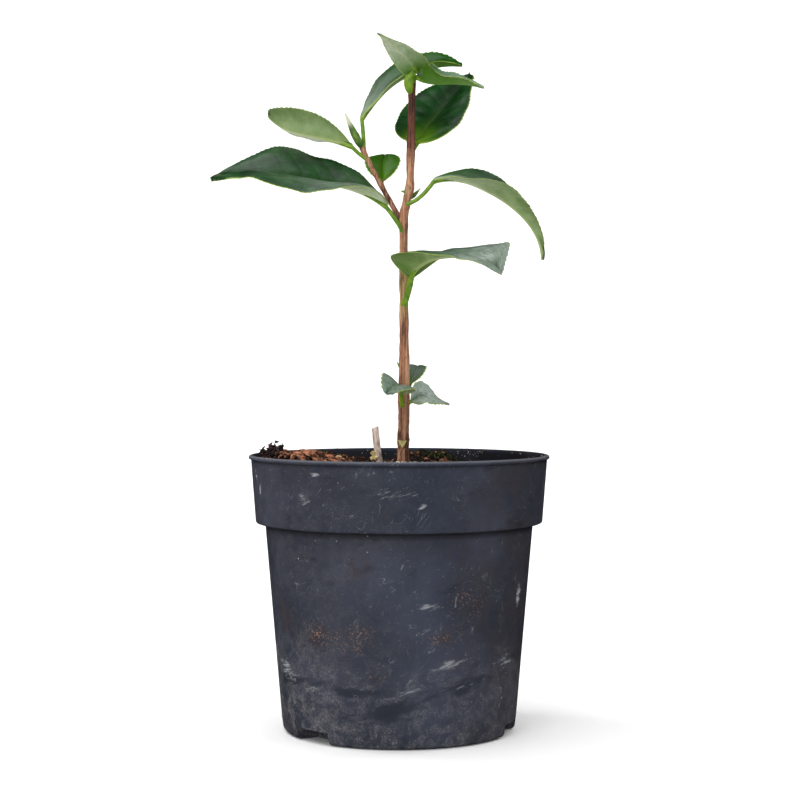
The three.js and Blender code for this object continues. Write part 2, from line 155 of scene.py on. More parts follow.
def rough(points: Array, size: float, seed: int, layers: int = 3) -> Array:
    """Layered noise, each layer half the size and half the weight of the last, between -1 and 1.

    Args:
        points: places in space.
        size: length of a cell of the first layer.
        seed: picks one of many patterns.
        layers: how many layers are summed.

    Returns:
        Values between -1 and 1.
    """
    total = np.zeros(points.shape[:-1])
    weight = 0.0
    for layer in range(layers):
        share = 0.5**layer
        total += share * (2 * noise(points, size * share, seed + 17 * layer) - 1)
        weight += share
    return total / weight


def turn_matrices(about_z: Array, about_x: Array, about_y: Array) -> Array:
    """Rotation matrices: first about X, then about Y, then about Z.

    Args:
        about_z: turns about Z in radians.
        about_x: turns about X in radians.
        about_y: turns about Y in radians.

    Returns:
        One 3 by 3 matrix for each set of turns.
    """
    cz, sz = np.cos(about_z), np.sin(about_z)
    cx, sx = np.cos(about_x), np.sin(about_x)
    cy, sy = np.cos(about_y), np.sin(about_y)
    zero, one = np.zeros_like(cz), np.ones_like(cz)
    turn_z = np.stack([cz, -sz, zero, sz, cz, zero, zero, zero, one], -1).reshape(-1, 3, 3)
    turn_x = np.stack([one, zero, zero, zero, cx, -sx, zero, sx, cx], -1).reshape(-1, 3, 3)
    turn_y = np.stack([cy, zero, sy, zero, one, zero, -sy, zero, cy], -1).reshape(-1, 3, 3)
    return turn_z @ turn_y @ turn_x


# -------------------------------------------------------------------------------------- surfaces
@dataclass
class Surface:
    """Points, faces and the values at the points, before they become a mesh."""

    points: Array
    quads: Array
    triangles: Array
    quad_finish: Array
    triangle_finish: Array
    uv: Array
    values: dict[str, Array] = field(default_factory=dict)
    PLAIN: ClassVar[tuple[str, ...]] = ("quad_finish", "triangle_finish", "uv")

    @classmethod
    def joined(cls, parts: list[Surface]) -> Surface:
        """Several surfaces as one, with 0 for a value that a part doesn't have.

        Args:
            parts: the surfaces to join.

        Returns:
            The joined surface.
        """
        starts = np.cumsum([0] + [len(part.points) for part in parts])
        names = sorted({name for part in parts for name in part.values})
        joined = {
            name: np.concatenate([part.values.get(name, np.zeros(len(part.points))) for part in parts])
            for name in names
        }
        return cls(
            np.concatenate([part.points for part in parts]),
            np.concatenate([part.quads + start for part, start in zip(parts, starts)]),
            np.concatenate([part.triangles + start for part, start in zip(parts, starts)]),
            *(np.concatenate([getattr(part, kind) for part in parts]) for kind in cls.PLAIN),
            joined,
        )

    def piece(self, name: str, finishes: list[Material], crease: float = 40) -> bpy.types.Object:
        """Puts the surface into a mesh object at the origin.

        Args:
            name: the object's name.
            finishes: materials, in the order that the face finishes count them.
            crease: faces that meet at more than this many degrees keep a sharp edge.

        Returns:
            The new object.
        """
        mesh = bpy.data.meshes.new(name)
        corners = np.concatenate([self.quads.ravel(), self.triangles.ravel()]).astype(np.int32)
        sizes = np.concatenate([np.full(len(self.quads), 4), np.full(len(self.triangles), 3)])
        starts = np.concatenate([[0], np.cumsum(sizes)[:-1]]).astype(np.int32)
        mesh.vertices.add(len(self.points))
        mesh.vertices.foreach_set("co", self.points.astype(np.float32).ravel())
        mesh.loops.add(len(corners))
        mesh.loops.foreach_set("vertex_index", corners)
        mesh.polygons.add(len(starts))
        mesh.polygons.foreach_set("loop_start", starts)
        finish = np.concatenate([self.quad_finish, self.triangle_finish]).astype(np.int32)
        mesh.polygons.foreach_set("material_index", finish)
        mesh.polygons.foreach_set("use_smooth", np.ones(len(starts), dtype=bool))
        layer = mesh.uv_layers.new(name="surface")
        layer.data.foreach_set("uv", self.uv[corners].astype(np.float32).ravel())
        for title, amounts in self.values.items():
            attribute = mesh.attributes.new(title, "FLOAT", "POINT")
            attribute.data.foreach_set("value", amounts.astype(np.float32))
        for finish_material in finishes:
            mesh.materials.append(finish_material)
        mesh.update(calc_edges=True)
        mesh.validate()
        mesh.set_sharp_from_angle(angle=math.radians(crease))
        thing = bpy.data.objects.new(name, mesh)
        bpy.context.scene.collection.objects.link(thing)
        return thing


def sheet_surface(upper: Array, lower: Array, uv: Array, values: dict[str, Array]) -> Surface:
    """A thin closed sheet from two grids of points and the strips that join their four sides.

    Rows run along the sheet and columns from its left to its right, seen from above. The upper face
    has finish 0, the lower finish 1 and the sides finish 2.

    Args:
        upper: grid of points of the upper face.
        lower: grid of points of the lower face.
        uv: grid of surface coordinates.
        values: grids of values, the same on both faces.

    Returns:
        The closed sheet.
    """
    rows, columns = upper.shape[:2]
    top = np.arange(rows * columns).reshape(rows, columns)
    under = top + rows * columns
    face = np.stack([top[:-1, :-1], top[:-1, 1:], top[1:, 1:], top[1:, :-1]], -1).reshape(-1, 4)
    right = np.stack([top[:-1, -1], under[:-1, -1], under[1:, -1], top[1:, -1]], -1)
    left = np.stack([top[:-1, 0], top[1:, 0], under[1:, 0], under[:-1, 0]], -1)
    base = np.stack([top[0, :-1], under[0, :-1], under[0, 1:], top[0, 1:]], -1)
    tip = np.stack([top[-1, :-1], top[-1, 1:], under[-1, 1:], under[-1, :-1]], -1)
    sides = np.concatenate([right, left, base, tip])
    count = rows * columns
    return Surface(
        np.concatenate([upper.reshape(-1, 3), lower.reshape(-1, 3)]),
        np.concatenate([face, face[:, ::-1] + count, sides]),
        np.zeros((0, 3), dtype=int),
        np.concatenate([np.zeros(len(face)), np.ones(len(face)), np.full(len(sides), 2)]),
        np.zeros(0),
        np.concatenate([uv.reshape(-1, 2)] * 2),
        {name: np.concatenate([grid.ravel()] * 2) for name, grid in values.items()},
    )


def ring_faces(rings: int, sides: int) -> tuple[Array, Array]:
    """Faces over rings of points, closed at both ends by a fan round one more point.

    Args:
        rings: number of rings.
        sides: points on each ring.

    Returns:
        The four-sided faces between the rings and the triangles of the two fans.
    """
    index = np.arange(rings * sides).reshape(rings, sides)
    following = np.roll(index, -1, axis=1)
    quads = np.stack([index[:-1], following[:-1], following[1:], index[1:]], -1).reshape(-1, 4)
    low, high = rings * sides, rings * sides + 1
    start_fan = np.stack([np.full(sides, low), following[0], index[0]], -1)
    end_fan = np.stack([np.full(sides, high), index[-1], following[-1]], -1)
    return quads, np.concatenate([start_fan, end_fan])


def ring_surface(rings: Array, values: dict[str, Array] | None = None, finish: int = 0) -> Surface:
    """A closed skin over rings of points, each closed at both ends by a fan round its middle.

    Args:
        rings: points as (ring, side, xyz), turning to the left about the way the rings run.
        values: values as (ring, side) grids.
        finish: the finish of every face.

    Returns:
        The closed skin.
    """
    count, sides = rings.shape[:2]
    quads, fans = ring_faces(count, sides)
    share = np.linspace(0, 1, count)[:, None] * np.ones(sides)
    around = np.ones(count)[:, None] * np.arange(sides) / sides
    return Surface(
        np.concatenate([rings.reshape(-1, 3), rings[0].mean(0)[None], rings[-1].mean(0)[None]]),
        quads,
        fans,
        np.full(len(quads), finish),
        np.full(len(fans), finish),
        np.concatenate([np.stack([share, around], -1).reshape(-1, 2), [[0, 0], [1, 0]]]),
        {
            name: np.concatenate([grid.ravel(), [grid[0].mean(), grid[-1].mean()]])
            for name, grid in (values or {}).items()
        },
    )


def many_alike(points: Array, rings: int, sides: int, tones: Array) -> Surface:
    """Many closed skins of the same rings, joined.

    Args:
        points: points as (shape, point, xyz): ring by ring, and then the two end points.
        rings: rings of each shape.
        sides: points on each ring.
        tones: one value for each shape, kept at all its points as "tone".

    Returns:
        The joined shapes.
    """
    count, each = points.shape[:2]
    starts = (np.arange(count) * each)[:, None, None]
    quads, fans = ring_faces(rings, sides)
    quads, fans = (quads + starts).reshape(-1, 4), (fans + starts).reshape(-1, 3)
    plain = np.zeros(len(quads)), np.zeros(len(fans)), np.zeros((count * each, 2))
    return Surface(points.reshape(-1, 3), quads, fans, *plain, {"tone": np.repeat(tones, each)})


def tube_rings(centres: Array, radii: Array, sides: int, reference: Array = TO_BACK) -> tuple[Array, ...]:
    """Rings round a path: centre + radius * (across cos a + third sin a).

    Across is the unit vector of reference x ahead, and third makes ahead, across and third right-handed.

    Args:
        centres: points of the path.
        radii: radii as (ring,) or (ring, side).
        sides: points on each ring.
        reference: a direction that the path never runs along.

    Returns:
        The rings and the directions out as (ring, side, xyz), and the angles a.
    """
    ahead = unit(np.gradient(centres, axis=0))
    across = unit(np.cross(np.broadcast_to(reference, ahead.shape), ahead))
    third = np.cross(ahead, across)
    angle = np.arange(sides) * 2 * np.pi / sides
    out = across[:, None] * np.cos(angle)[:, None] + third[:, None] * np.sin(angle)[:, None]
    grown = radii if radii.ndim == 2 else radii[:, None]
    return centres[:, None] + out * grown[..., None], out, angle


def smooth_path(points: Array, count: int) -> Array:
    """A Catmull-Rom curve through the points, evenly read along its chords.

    Args:
        points: places that the curve passes through.
        count: how many points to return.

    Returns:
        Points of the curve.
    """
    padded = np.concatenate([2 * points[:1] - points[1:2], points, 2 * points[-1:] - points[-2:-1]])
    lengths = np.concatenate([[0], np.cumsum(np.linalg.norm(np.diff(points, axis=0), axis=1))])
    wanted = np.linspace(0, lengths[-1], count)
    span = np.clip(np.searchsorted(lengths, wanted, side="right") - 1, 0, len(points) - 2)
    part = ((wanted - lengths[span]) / (lengths[span + 1] - lengths[span]))[:, None]
    return cubic(*(padded[span + step] for step in range(4)), part)


def scattered_blobs(
    centres: Array, sizes: Array, turns: Array, rings: int, sides: int,
    knobble: float, squareness: float, seed: int, tones: Array,
) -> Surface:
    """Many rough lumps at once: turned and stretched balls whose skin is pushed in and out by noise.

    A ball's point is (cos b^q cos a^q, cos b^q sin a^q, sin b^q), with q under 1 for a boxy lump, times
    half the size and 1 + knobble * noise.

    Args:
        centres: places of the lumps.
        sizes: lengths, breadths and heights.
        turns: rotation matrices.
        rings: rings of points between the poles.
        sides: points on each ring.
        knobble: how far the noise pushes, as a share of the size.
        squareness: the power q.
        seed: picks the noise.
        tones: one value for each lump, kept at all its points as "tone".

    Returns:
        The joined lumps.
    """
    rise = np.linspace(-np.pi / 2, np.pi / 2, rings + 2)
    round_about = np.arange(sides) * 2 * np.pi / sides

    def powered(wave: Array) -> Array:
        """The wave with its size raised to the power q and its sign kept."""
        return np.sign(wave) * np.abs(wave) ** squareness

    flat = powered(np.cos(rise[1:-1]))[:, None]
    grid = np.stack(
        [
            flat * powered(np.cos(round_about)),
            flat * powered(np.sin(round_about)),
            powered(np.sin(rise[1:-1]))[:, None] * np.ones(sides),
        ],
        -1,
    ).reshape(-1, 3)
    ball = np.concatenate([grid, [[0, 0, -1.0], [0, 0, 1.0]]])
    shifted = ball[None] + np.arange(len(centres))[:, None, None] * 7.3
    swell = 1 + knobble * rough(shifted, 0.9, seed, 2)[..., None]
    local = ball[None] * swell * sizes[:, None] / 2
    points = np.einsum("nij,nkj->nki", turns, local) + centres[:, None]
    return many_alike(points, rings, sides, tones)


def scattered_strands(
    feet: Array, aims: Array, lengths: Array, radii: Array, curls: Array,
    rings: int, sides: int, tones: Array,
) -> Surface:
    """Many tapering strands at once, each bending from its aim towards its curl.

    A strand's middle is foot + length * (s aim + s^2 curl) and its radius falls as 1 - s^2.

    Args:
        feet: where the strands start.
        aims: unit directions at the feet.
        lengths: lengths of the strands.
        radii: radii at the feet.
        curls: how far each strand has bent at its tip, as a share of its length.
        rings: rings along each strand.
        sides: points on each ring.
        tones: one value for each strand, kept at all its points as "tone".

    Returns:
        The joined strands.
    """
    share = np.linspace(0, 1, rings)[None, :, None]
    middle = feet[:, None] + lengths[:, None, None] * (share * aims[:, None] + share**2 * curls[:, None])
    ahead = unit(aims[:, None] + 2 * share * curls[:, None])
    across = unit(np.cross(ahead, np.array([0.31, 0.87, 0.38])))
    third = np.cross(ahead, across)
    angle = (np.arange(sides) * 2 * np.pi / sides)[None, None, :, None]
    radius = (radii[:, None, None] * (1 - 0.85 * share[..., 0] ** 2))[..., None]
    out = across[:, :, None] * np.cos(angle) + third[:, :, None] * np.sin(angle)
    points = middle[:, :, None] + radius.reshape(len(feet), rings, 1, 1) * out
    ends = middle[:, [0, -1]]
    points = np.concatenate([points.reshape(len(feet), -1, 3), ends], 1)
    return many_alike(points, rings, sides, tones)


# ------------------------------------------------------------------------------------- materials
def paint(red: float, green: float, blue: float) -> Colour:
    """A colour given as screen values from 0 to 255, turned to linear light."""
    values = [channel / 255 for channel in (red, green, blue)]
    linear = [v / 12.92 if v <= 0.04045 else ((v + 0.055) / 1.055) ** 2.4 for v in values]
    return linear[0], linear[1], linear[2]


Socket = bpy.types.NodeSocket
Source = Socket | float
Paint = Socket | Colour


class Recipe:
    """One node material, built up step by step round its main shader."""

    def __init__(self, name: str, roughness: float, gloss: float = 0.5) -> None:
        """Starts the material.

        Args:
            name: the material's name.
            roughness: the shader's roughness, where nothing is linked to it.
            gloss: the shader's specular level.
        """
        self.material = bpy.data.materials.new(name)
        self.material.use_nodes = True
        self.nodes = self.material.node_tree.nodes
        self.links = self.material.node_tree.links
        self.shader = next(node for node in self.nodes if node.type == "BSDF_PRINCIPLED")
        self.shader.inputs["Roughness"].default_value = roughness
        self.shader.inputs["Specular IOR Level"].default_value = gloss
        self.colour: Paint = (0, 0, 0)

    def feed(self, target: Socket, source: Source | Colour) -> None:
        """Links a socket, or sets the target's own value where the source is a plain one."""
        if isinstance(source, bpy.types.NodeSocket):
            self.links.new(source, target)
        elif isinstance(source, tuple):
            target.default_value = (*source, 1.0) if len(target.default_value) == 4 else source
        else:
            target.default_value = source

    def node(self, kind: str, sources: dict[str | int, Source | Colour], **settings: str) -> bpy.types.Node:
        """A new shader node.

        Args:
            kind: the end of Blender's name for the node.
            sources: what goes into each input: a plain value or a socket to link.
            settings: the node's own settings, by Blender's names.

        Returns:
            The node.
        """
        node = self.nodes.new("ShaderNode" + kind)
        for title, amount in settings.items():
            setattr(node, title, amount)
        for title, source in sources.items():
            self.feed(node.inputs[title], source)
        return node

    def place(self, scale: Colour = (1, 1, 1), turn: Colour = (0, 0, 0), centre: Colour = (0, 0, 0),
              kind: str = "POINT") -> Socket:
        """Object coordinates, scaled, turned and moved.

        Args:
            scale: scale along each axis: how much closer the pattern is.
            turn: turn about each axis in degrees.
            centre: place of the pattern's middle.
            kind: POINT scales and then turns. TEXTURE turns and then draws the pattern out by the scale.

        Returns:
            The mapped coordinates.
        """
        source = self.node("TexCoord", {}).outputs["Object"]
        angles = math.radians(turn[0]), math.radians(turn[1]), math.radians(turn[2])
        sources = {"Vector": source, "Location": centre, "Rotation": angles, "Scale": scale}
        return self.node("Mapping", sources, vector_type=kind).outputs["Vector"]

    def drawn(self, lengths: Colour, turn: Colour) -> Socket:
        """Object coordinates turned first and then drawn out along the turned axes."""
        return self.place(lengths, turn, kind="TEXTURE")

    def surface_place(self, scale: Colour) -> Socket:
        """The piece's own surface coordinates, scaled."""
        source = self.node("UVMap", {}, uv_map="surface").outputs["UV"]
        return self.node("Mapping", {"Vector": source, "Scale": scale}).outputs["Vector"]

    def speckle(self, size: float, detail: float = 3, place: Socket | None = None,
                grain: float = 0.5, warp: float = 0) -> Socket:
        """Cloudy noise about 0.5, in patches of the size, with finer layers, their grain and a warp."""
        sources = {"Vector": place or self.place(), "Scale": 1 / size, "Detail": detail,
                   "Roughness": grain, "Distortion": warp}
        return self.node("TexNoise", sources).outputs["Fac"]

    def cells(self, size: float) -> Socket:
        """Distance to the nearest scattered point, in cells of the given size in metres."""
        return self.node("TexVoronoi", {"Vector": self.place(), "Scale": 1 / size}).outputs["Distance"]

    def value(self, name: str) -> Socket:
        """A value kept at the piece's points."""
        return self.node("Attribute", {}, attribute_name=name).outputs["Fac"]

    def sum_of(self, kind: str, first: Source, second: Source = 0.0, third: Source = 0.0) -> Socket:
        """One step of arithmetic, by Blender's name for it, on up to three sources."""
        sources = {0: first, 1: second, 2: third}
        return self.node("Math", sources, operation=kind).outputs["Value"]

    def times(self, first: Source, second: Source) -> Socket:
        """One source times the other."""
        return self.sum_of("MULTIPLY", first, second)

    def spread(self, source: Socket, low: float, high: float, start: float = 0, end: float = 1) -> Socket:
        """Maps low..high to start..end with eased ends, and keeps to them outside."""
        sources = {"Value": source, "From Min": low, "From Max": high, "To Min": start, "To Max": end}
        return self.node("MapRange", sources, interpolation_type="SMOOTHSTEP").outputs["Result"]

    def blend(self, share: Source, first: Paint, second: Paint) -> Socket:
        """Mixes two colours by the share of the second."""
        return self.node("Mix", {0: share, 6: first, 7: second}, data_type="RGBA").outputs[2]

    def lay(self, share: Source, paint: Paint) -> None:
        """Lays a colour over what is there, by its share."""
        self.colour = self.blend(share, self.colour, paint)

    def steps(self, source: Socket, stops: list[tuple[float, Colour]]) -> Socket:
        """A colour ramp.

        Args:
            source: where to read the ramp.
            stops: place and colour of each stop.

        Returns:
            The colour.
        """
        node = self.node("ValToRGB", {"Fac": source})
        ramp = node.color_ramp
        while len(ramp.elements) < len(stops):
            ramp.elements.new(0.5)
        for element, (place, colour) in zip(ramp.elements, stops):
            element.position = place
            element.color = (*colour, 1.0)
        return node.outputs["Color"]

    def spot(self, centre: Colour, radii: Colour, turn: float, blur: float, heading: float = 0) -> Socket:
        """1 in an oval patch round a place and 0 outside, fading over the blur's share of its radii."""
        place = self.place(radii, (0, turn, heading), centre, "TEXTURE")
        length = self.node("VectorMath", {0: place}, operation="LENGTH").outputs["Value"]
        return self.spread(length, 1, 1 - blur)

    def relief(self, height: Socket, depth: float, strength: float = 1.0) -> None:
        """Raises the surface's grain by a height, after any relief laid on before.

        Args:
            height: height between 0 and 1.
            depth: how far 1 stands over 0, in metres.
            strength: share of the effect.
        """
        node = self.node("Bump", {"Strength": strength, "Distance": depth, "Height": height})
        earlier = self.shader.inputs["Normal"].links
        if earlier:
            self.links.new(earlier[0].from_socket, node.inputs["Normal"])
        self.links.new(node.outputs["Normal"], self.shader.inputs["Normal"])

    def finish(self, roughness: Source | None = None) -> Material:
        """Sets the colour, and the roughness where it varies, and returns the material."""
        self.feed(self.shader.inputs["Base Color"], self.colour)
        if roughness is not None:
            self.feed(self.shader.inputs["Roughness"], roughness)
        return self.material


@dataclass(frozen=True)
class Mark:
    """A worn or dirty patch on the pot, placed by its heading and height."""

    heading: float
    height: float
    length: float
    rise: float
    turn: float = 0
    strength: float = 0.8
    blur: float = 0.8


def marked(*rows: tuple[float, ...]) -> tuple[Mark, ...]:
    """A mark for each row of its heading, height, length, rise, turn, strength and blur."""
    return tuple(Mark(*row) for row in rows)


@dataclass(frozen=True)
class PotPlastic:
    """Grey moulded plastic, scuffed, dusty near the ground and stained by splashed compost."""

    bare: Colour = paint(40, 46, 58)
    faded: Colour = paint(54, 59, 73)
    stain: Colour = paint(54, 45, 46)
    dust: Colour = paint(126, 122, 122)
    scuff: Colour = paint(158, 160, 162)
    # painted highlight along the top of the lip
    lip: Colour = paint(98, 100, 108)
    rust: Colour = paint(158, 116, 84)
    rust_haze: Colour = paint(64, 48, 44)
    clean: Colour = paint(26, 29, 36)
    fleck: Colour = paint(206, 204, 198)
    # painted shade: near-black for under the collar step, the groove under the lip and the inner wall
    shade: Colour = paint(16, 15, 18)
    radius: float = 78
    depth: float = 30
    scuffs: tuple[Mark, ...] = marked(
        (-81, 133, 6, 2.55, -24, 0.85), (-92, 140.5, 19.5, 6.75, 0, 0.4),
        (-123, 149.3, 6, 2.4, 0, 0.75), (-127.5, 134.5, 9.75, 10.5, 30, 0.48),
        (-158, 138, 2.1, 7.5, 10, 1), (-162, 146, 2.4, 9, -20, 0.65),
        (-77.6, 78, 13.5, 3.9, 0, 0.65), (-77, 64, 12, 4.5, 0, 0.51), (-76, 55, 4.5, 9, 0, 0.47),
        (-24.9, 80, 6, 12, 0, 0.85), (-67, 46, 16.5, 4.5, -16, 0.87), (-87, 31, 39, 3.9, -20, 0.55),
        (-60, 34, 36, 3.6, -14, 0.55), (-152, 38, 21, 10.5, 20, 0.75), (-170, 47, 18, 9, 20, 0.71),
        (-132, 30, 24, 4.5, 0, 0.55), (-33, 44, 18, 12, 0, 0.61), (150, 60, 21, 7.5, 12, 0.65),
        (60, 96, 15, 4.5, -14, 0.75), (95, 40, 33, 7.5, 10, 0.65), (20, 140, 9, 4.5, 25, 0.75),
        (120, 132, 7.5, 6, -12, 0.7),
    )
    rusty: tuple[Mark, ...] = marked(
        (-127, 60, 13, 9, 0, 0.8), (-108, 64, 15, 6, 0, 0.55), (-114, 58, 26, 11, 0, 0.4),
        (-72, 60, 10, 5, 0, 0.5), (-100, 40, 10, 5, 0, 0.4), (-60, 80, 16, 16, 0, 0.3),
        (70, 70, 16, 9, 0, 0.6), (170, 80, 12, 10, 0, 0.5),
    )
    hazes: tuple[Mark, ...] = marked(
        (-107, 100, 11, 14, 0, 0.7), (-62, 92, 9, 30, 0, 0.75), (-150, 68, 16, 20, 0, 0.8),
        (-66, 62, 14, 12, 0, 0.6), (-30, 75, 20, 50, 0, 0.8), (-25, 136, 16, 16, 0, 0.6),
        (80, 60, 24, 30, 0, 0.7), (140, 100, 18, 20, 0, 0.6),
    )
    dark_patches: tuple[Mark, ...] = marked(
        (-99, 20, 46, 9, -6, 1, 1), (-150, 33, 24, 7, 0, 1, 1), (-62, 33, 34, 8, -14, 1, 1),
        (-118, 32, 40, 7, 5, 1, 1), (40, 24, 40, 12, 0, 1, 1), (120, 20, 40, 12, 0, 1, 1),
    )

    def patches(self, mix: Recipe, marks: tuple[Mark, ...]) -> Socket:
        """The share of the strongest of several marks at each place."""
        total: Source = 0.0
        for mark in marks:
            angle = math.radians(mark.heading)
            centre = (
                self.radius * math.cos(angle) * MM, self.radius * math.sin(angle) * MM, mark.height * MM
            )
            radii = (mark.length * MM, self.depth * MM, mark.rise * MM)
            turn = mark.turn if mark.heading < 0 else -mark.turn
            spot = mix.spot(centre, radii, turn, mark.blur, mark.heading + 90)
            total = mix.sum_of("MAXIMUM", mix.times(spot, mark.strength), total)
        return total

    def material(self) -> Material:
        """Cloudy grey, brown hazes, dust, broken scuffs, rusty specks and fine hair scratches, with a
        painted highlight on the lip and painted shade under the collar, in the groove under the lip and on
        the inner wall.
        """
        mix = Recipe("pot plastic", 0.55, 0.14)
        cloud = mix.speckle(0.05, 3, grain=0.5)
        mix.colour = mix.blend(mix.spread(cloud, 0.35, 0.65), self.bare, self.faded)
        smear = mix.speckle(0.016, 5, mix.drawn((1, 1, 1.8), (0, 30, 0)), grain=0.7, warp=1.2)
        mix.lay(mix.spread(smear, 0.55, 0.72, 0, 0.35), self.faded)
        blot = mix.speckle(0.02, 5, grain=0.7, warp=0.8)
        haze = mix.sum_of("MAXIMUM", self.patches(mix, self.hazes), mix.value("stain"))
        stained = mix.times(haze, mix.spread(blot, 0.35, 0.6, 0.25, 1))
        mix.lay(stained, self.stain)
        low = mix.speckle(0.009, 6, grain=0.8, warp=0.8)
        grit = mix.speckle(0.0009, 4, grain=0.85)
        smooth = mix.speckle(0.012, 5, mix.drawn((1.8, 1.8, 0.7), (0, -12, 0)), grain=0.6)
        ragged = mix.sum_of("MULTIPLY_ADD", smooth, 2.8, self.patches(mix, self.dark_patches))
        dark = mix.spread(ragged, 1.6, 2.15)
        clear = mix.sum_of("SUBTRACT", 1.0, mix.times(dark, 0.95))
        dust = mix.times(mix.value("dust"), clear)
        dust = mix.times(dust, mix.spread(low, 0.4, 0.62, 0.04, 1))
        grain = mix.times(dust, mix.spread(grit, 0.44, 0.66, 0.16, 1))
        mix.lay(grain, self.dust)
        mix.lay(mix.times(dark, 0.45), self.clean)
        rub = mix.speckle(0.0045, 6, mix.drawn((2.2, 2.2, 0.5), (0, -18, 0)), grain=0.8)
        ragged = mix.sum_of("MULTIPLY_ADD", rub, 3.0, self.patches(mix, self.scuffs))
        worn = mix.spread(ragged, 1.95, 2.6, 0, 0.72)
        mix.lay(worn, self.scuff)
        rusted = self.patches(mix, self.rusty)
        speck = mix.spread(mix.cells(0.0013), 0.4, 0.2)
        thin = mix.spread(mix.speckle(0.006, 3, grain=0.7), 0.4, 0.56)
        rust = mix.times(mix.times(speck, rusted), thin)
        mix.lay(mix.times(rusted, 0.25), self.rust_haze)
        mix.lay(rust, self.rust)
        for size, radius, share in ((0.0085, 0.05, 0.9), (0.0042, 0.055, 0.4), (0.0024, 0.08, 0.35)):
            flecks = mix.spread(mix.cells(size), radius * 1.4, radius * 0.6)
            sparse = mix.spread(mix.speckle(size * 2.4, 2), 0.46, 0.6, 0, share)
            flecks = mix.times(flecks, sparse)
            flecks = mix.times(flecks, mix.value("fleck"))
            mix.lay(flecks, self.fleck)
        for turn, share in (((0, 24, 0), 0.42), ((20, -62, 30), 0.3), ((40, 80, 0), 0.34)):
            hair = mix.times(self.scratches(mix, turn), share)
            mix.lay(mix.times(hair, mix.value("fleck")), self.scuff)
        # painted highlight on the lip's top edge
        mix.lay(mix.value("lip"), self.lip)
        # painted shade under the collar step, in the groove under the lip and on the inner wall
        mix.lay(mix.value("shade"), self.shade)
        mix.relief(mix.speckle(0.0011, 2), 0.00004)
        mix.relief(mix.speckle(0.018, 2), 0.0003, 0.4)
        gloss = mix.spread(mix.speckle(0.02, 4, grain=0.7), 0.3, 0.7, 0.44, 0.62)
        gloss = mix.sum_of("ADD", gloss, mix.times(dust, 0.25))
        return mix.finish(gloss)

    def scratches(self, mix: Recipe, turn: Colour) -> Socket:
        """Thin lines where a drawn-out, bent noise crosses its middle, in a few places only."""
        line = mix.speckle(0.005, 1, mix.drawn((1, 1, 4), turn), warp=0.7)
        near = mix.sum_of("ABSOLUTE", mix.sum_of("SUBTRACT", line, 0.5))
        where = mix.spread(mix.speckle(0.011, 3, mix.drawn((1, 1, 1), turn)), 0.58, 0.68)
        return mix.times(mix.spread(near, 0.011, 0.003), where)


@dataclass(frozen=True)
class Compost:
    """Damp peat between the chips."""

    dark: Colour = paint(24, 17, 16)
    light: Colour = paint(58, 42, 36)

    def material(self) -> Material:
        """Dark crumbs with browner ones among them."""
        mix = Recipe("compost", 0.95, 0.2)
        crumb = mix.speckle(0.0022, 5, grain=0.7)
        mix.colour = mix.blend(mix.spread(crumb, 0.45, 0.75), self.dark, self.light)
        mix.relief(crumb, 0.0008)
        return mix.finish()


class Litter(Enum):
    """The kinds of small things that lie on the compost, with their darkest and lightest colours."""

    CHIP = ("bark chip", paint(30, 16, 12), paint(194, 130, 98))
    CRUMB = ("crumb", paint(20, 14, 13), paint(112, 78, 60))
    MOSS = ("moss", paint(20, 25, 14), paint(94, 102, 50))
    DRY_SHOOT = ("dry shoot", paint(30, 18, 22), paint(104, 78, 76))
    HUSK = ("husk", paint(150, 124, 70), paint(226, 204, 146))
    GRIT = ("grit", paint(140, 132, 124), paint(222, 216, 206))

    def material(self) -> Material:
        """Each lump's own tone between the two colours, with a finer mottle and grain, darker where that
        mottle sinks the relief, as painted shade in the pits.
        """
        name, dark, light = self.value
        mix = Recipe(name, 0.9, 0.25)
        mottle_and_pit_shade = mix.speckle(0.0018, 5, mix.drawn((2.4, 1, 1), (0, 14, 0)), grain=0.8)
        # painted shade: the colour darkens where the same noise sinks the relief, in its pits
        tone = mix.sum_of("ADD", mix.value("tone"), mix.spread(mottle_and_pit_shade, 0.38, 0.64, -0.85, 0.4))
        mix.colour = mix.steps(tone, [(0.05, dark), (1.0, light)])
        mix.relief(mottle_and_pit_shade, 0.0009)
        return mix.finish()


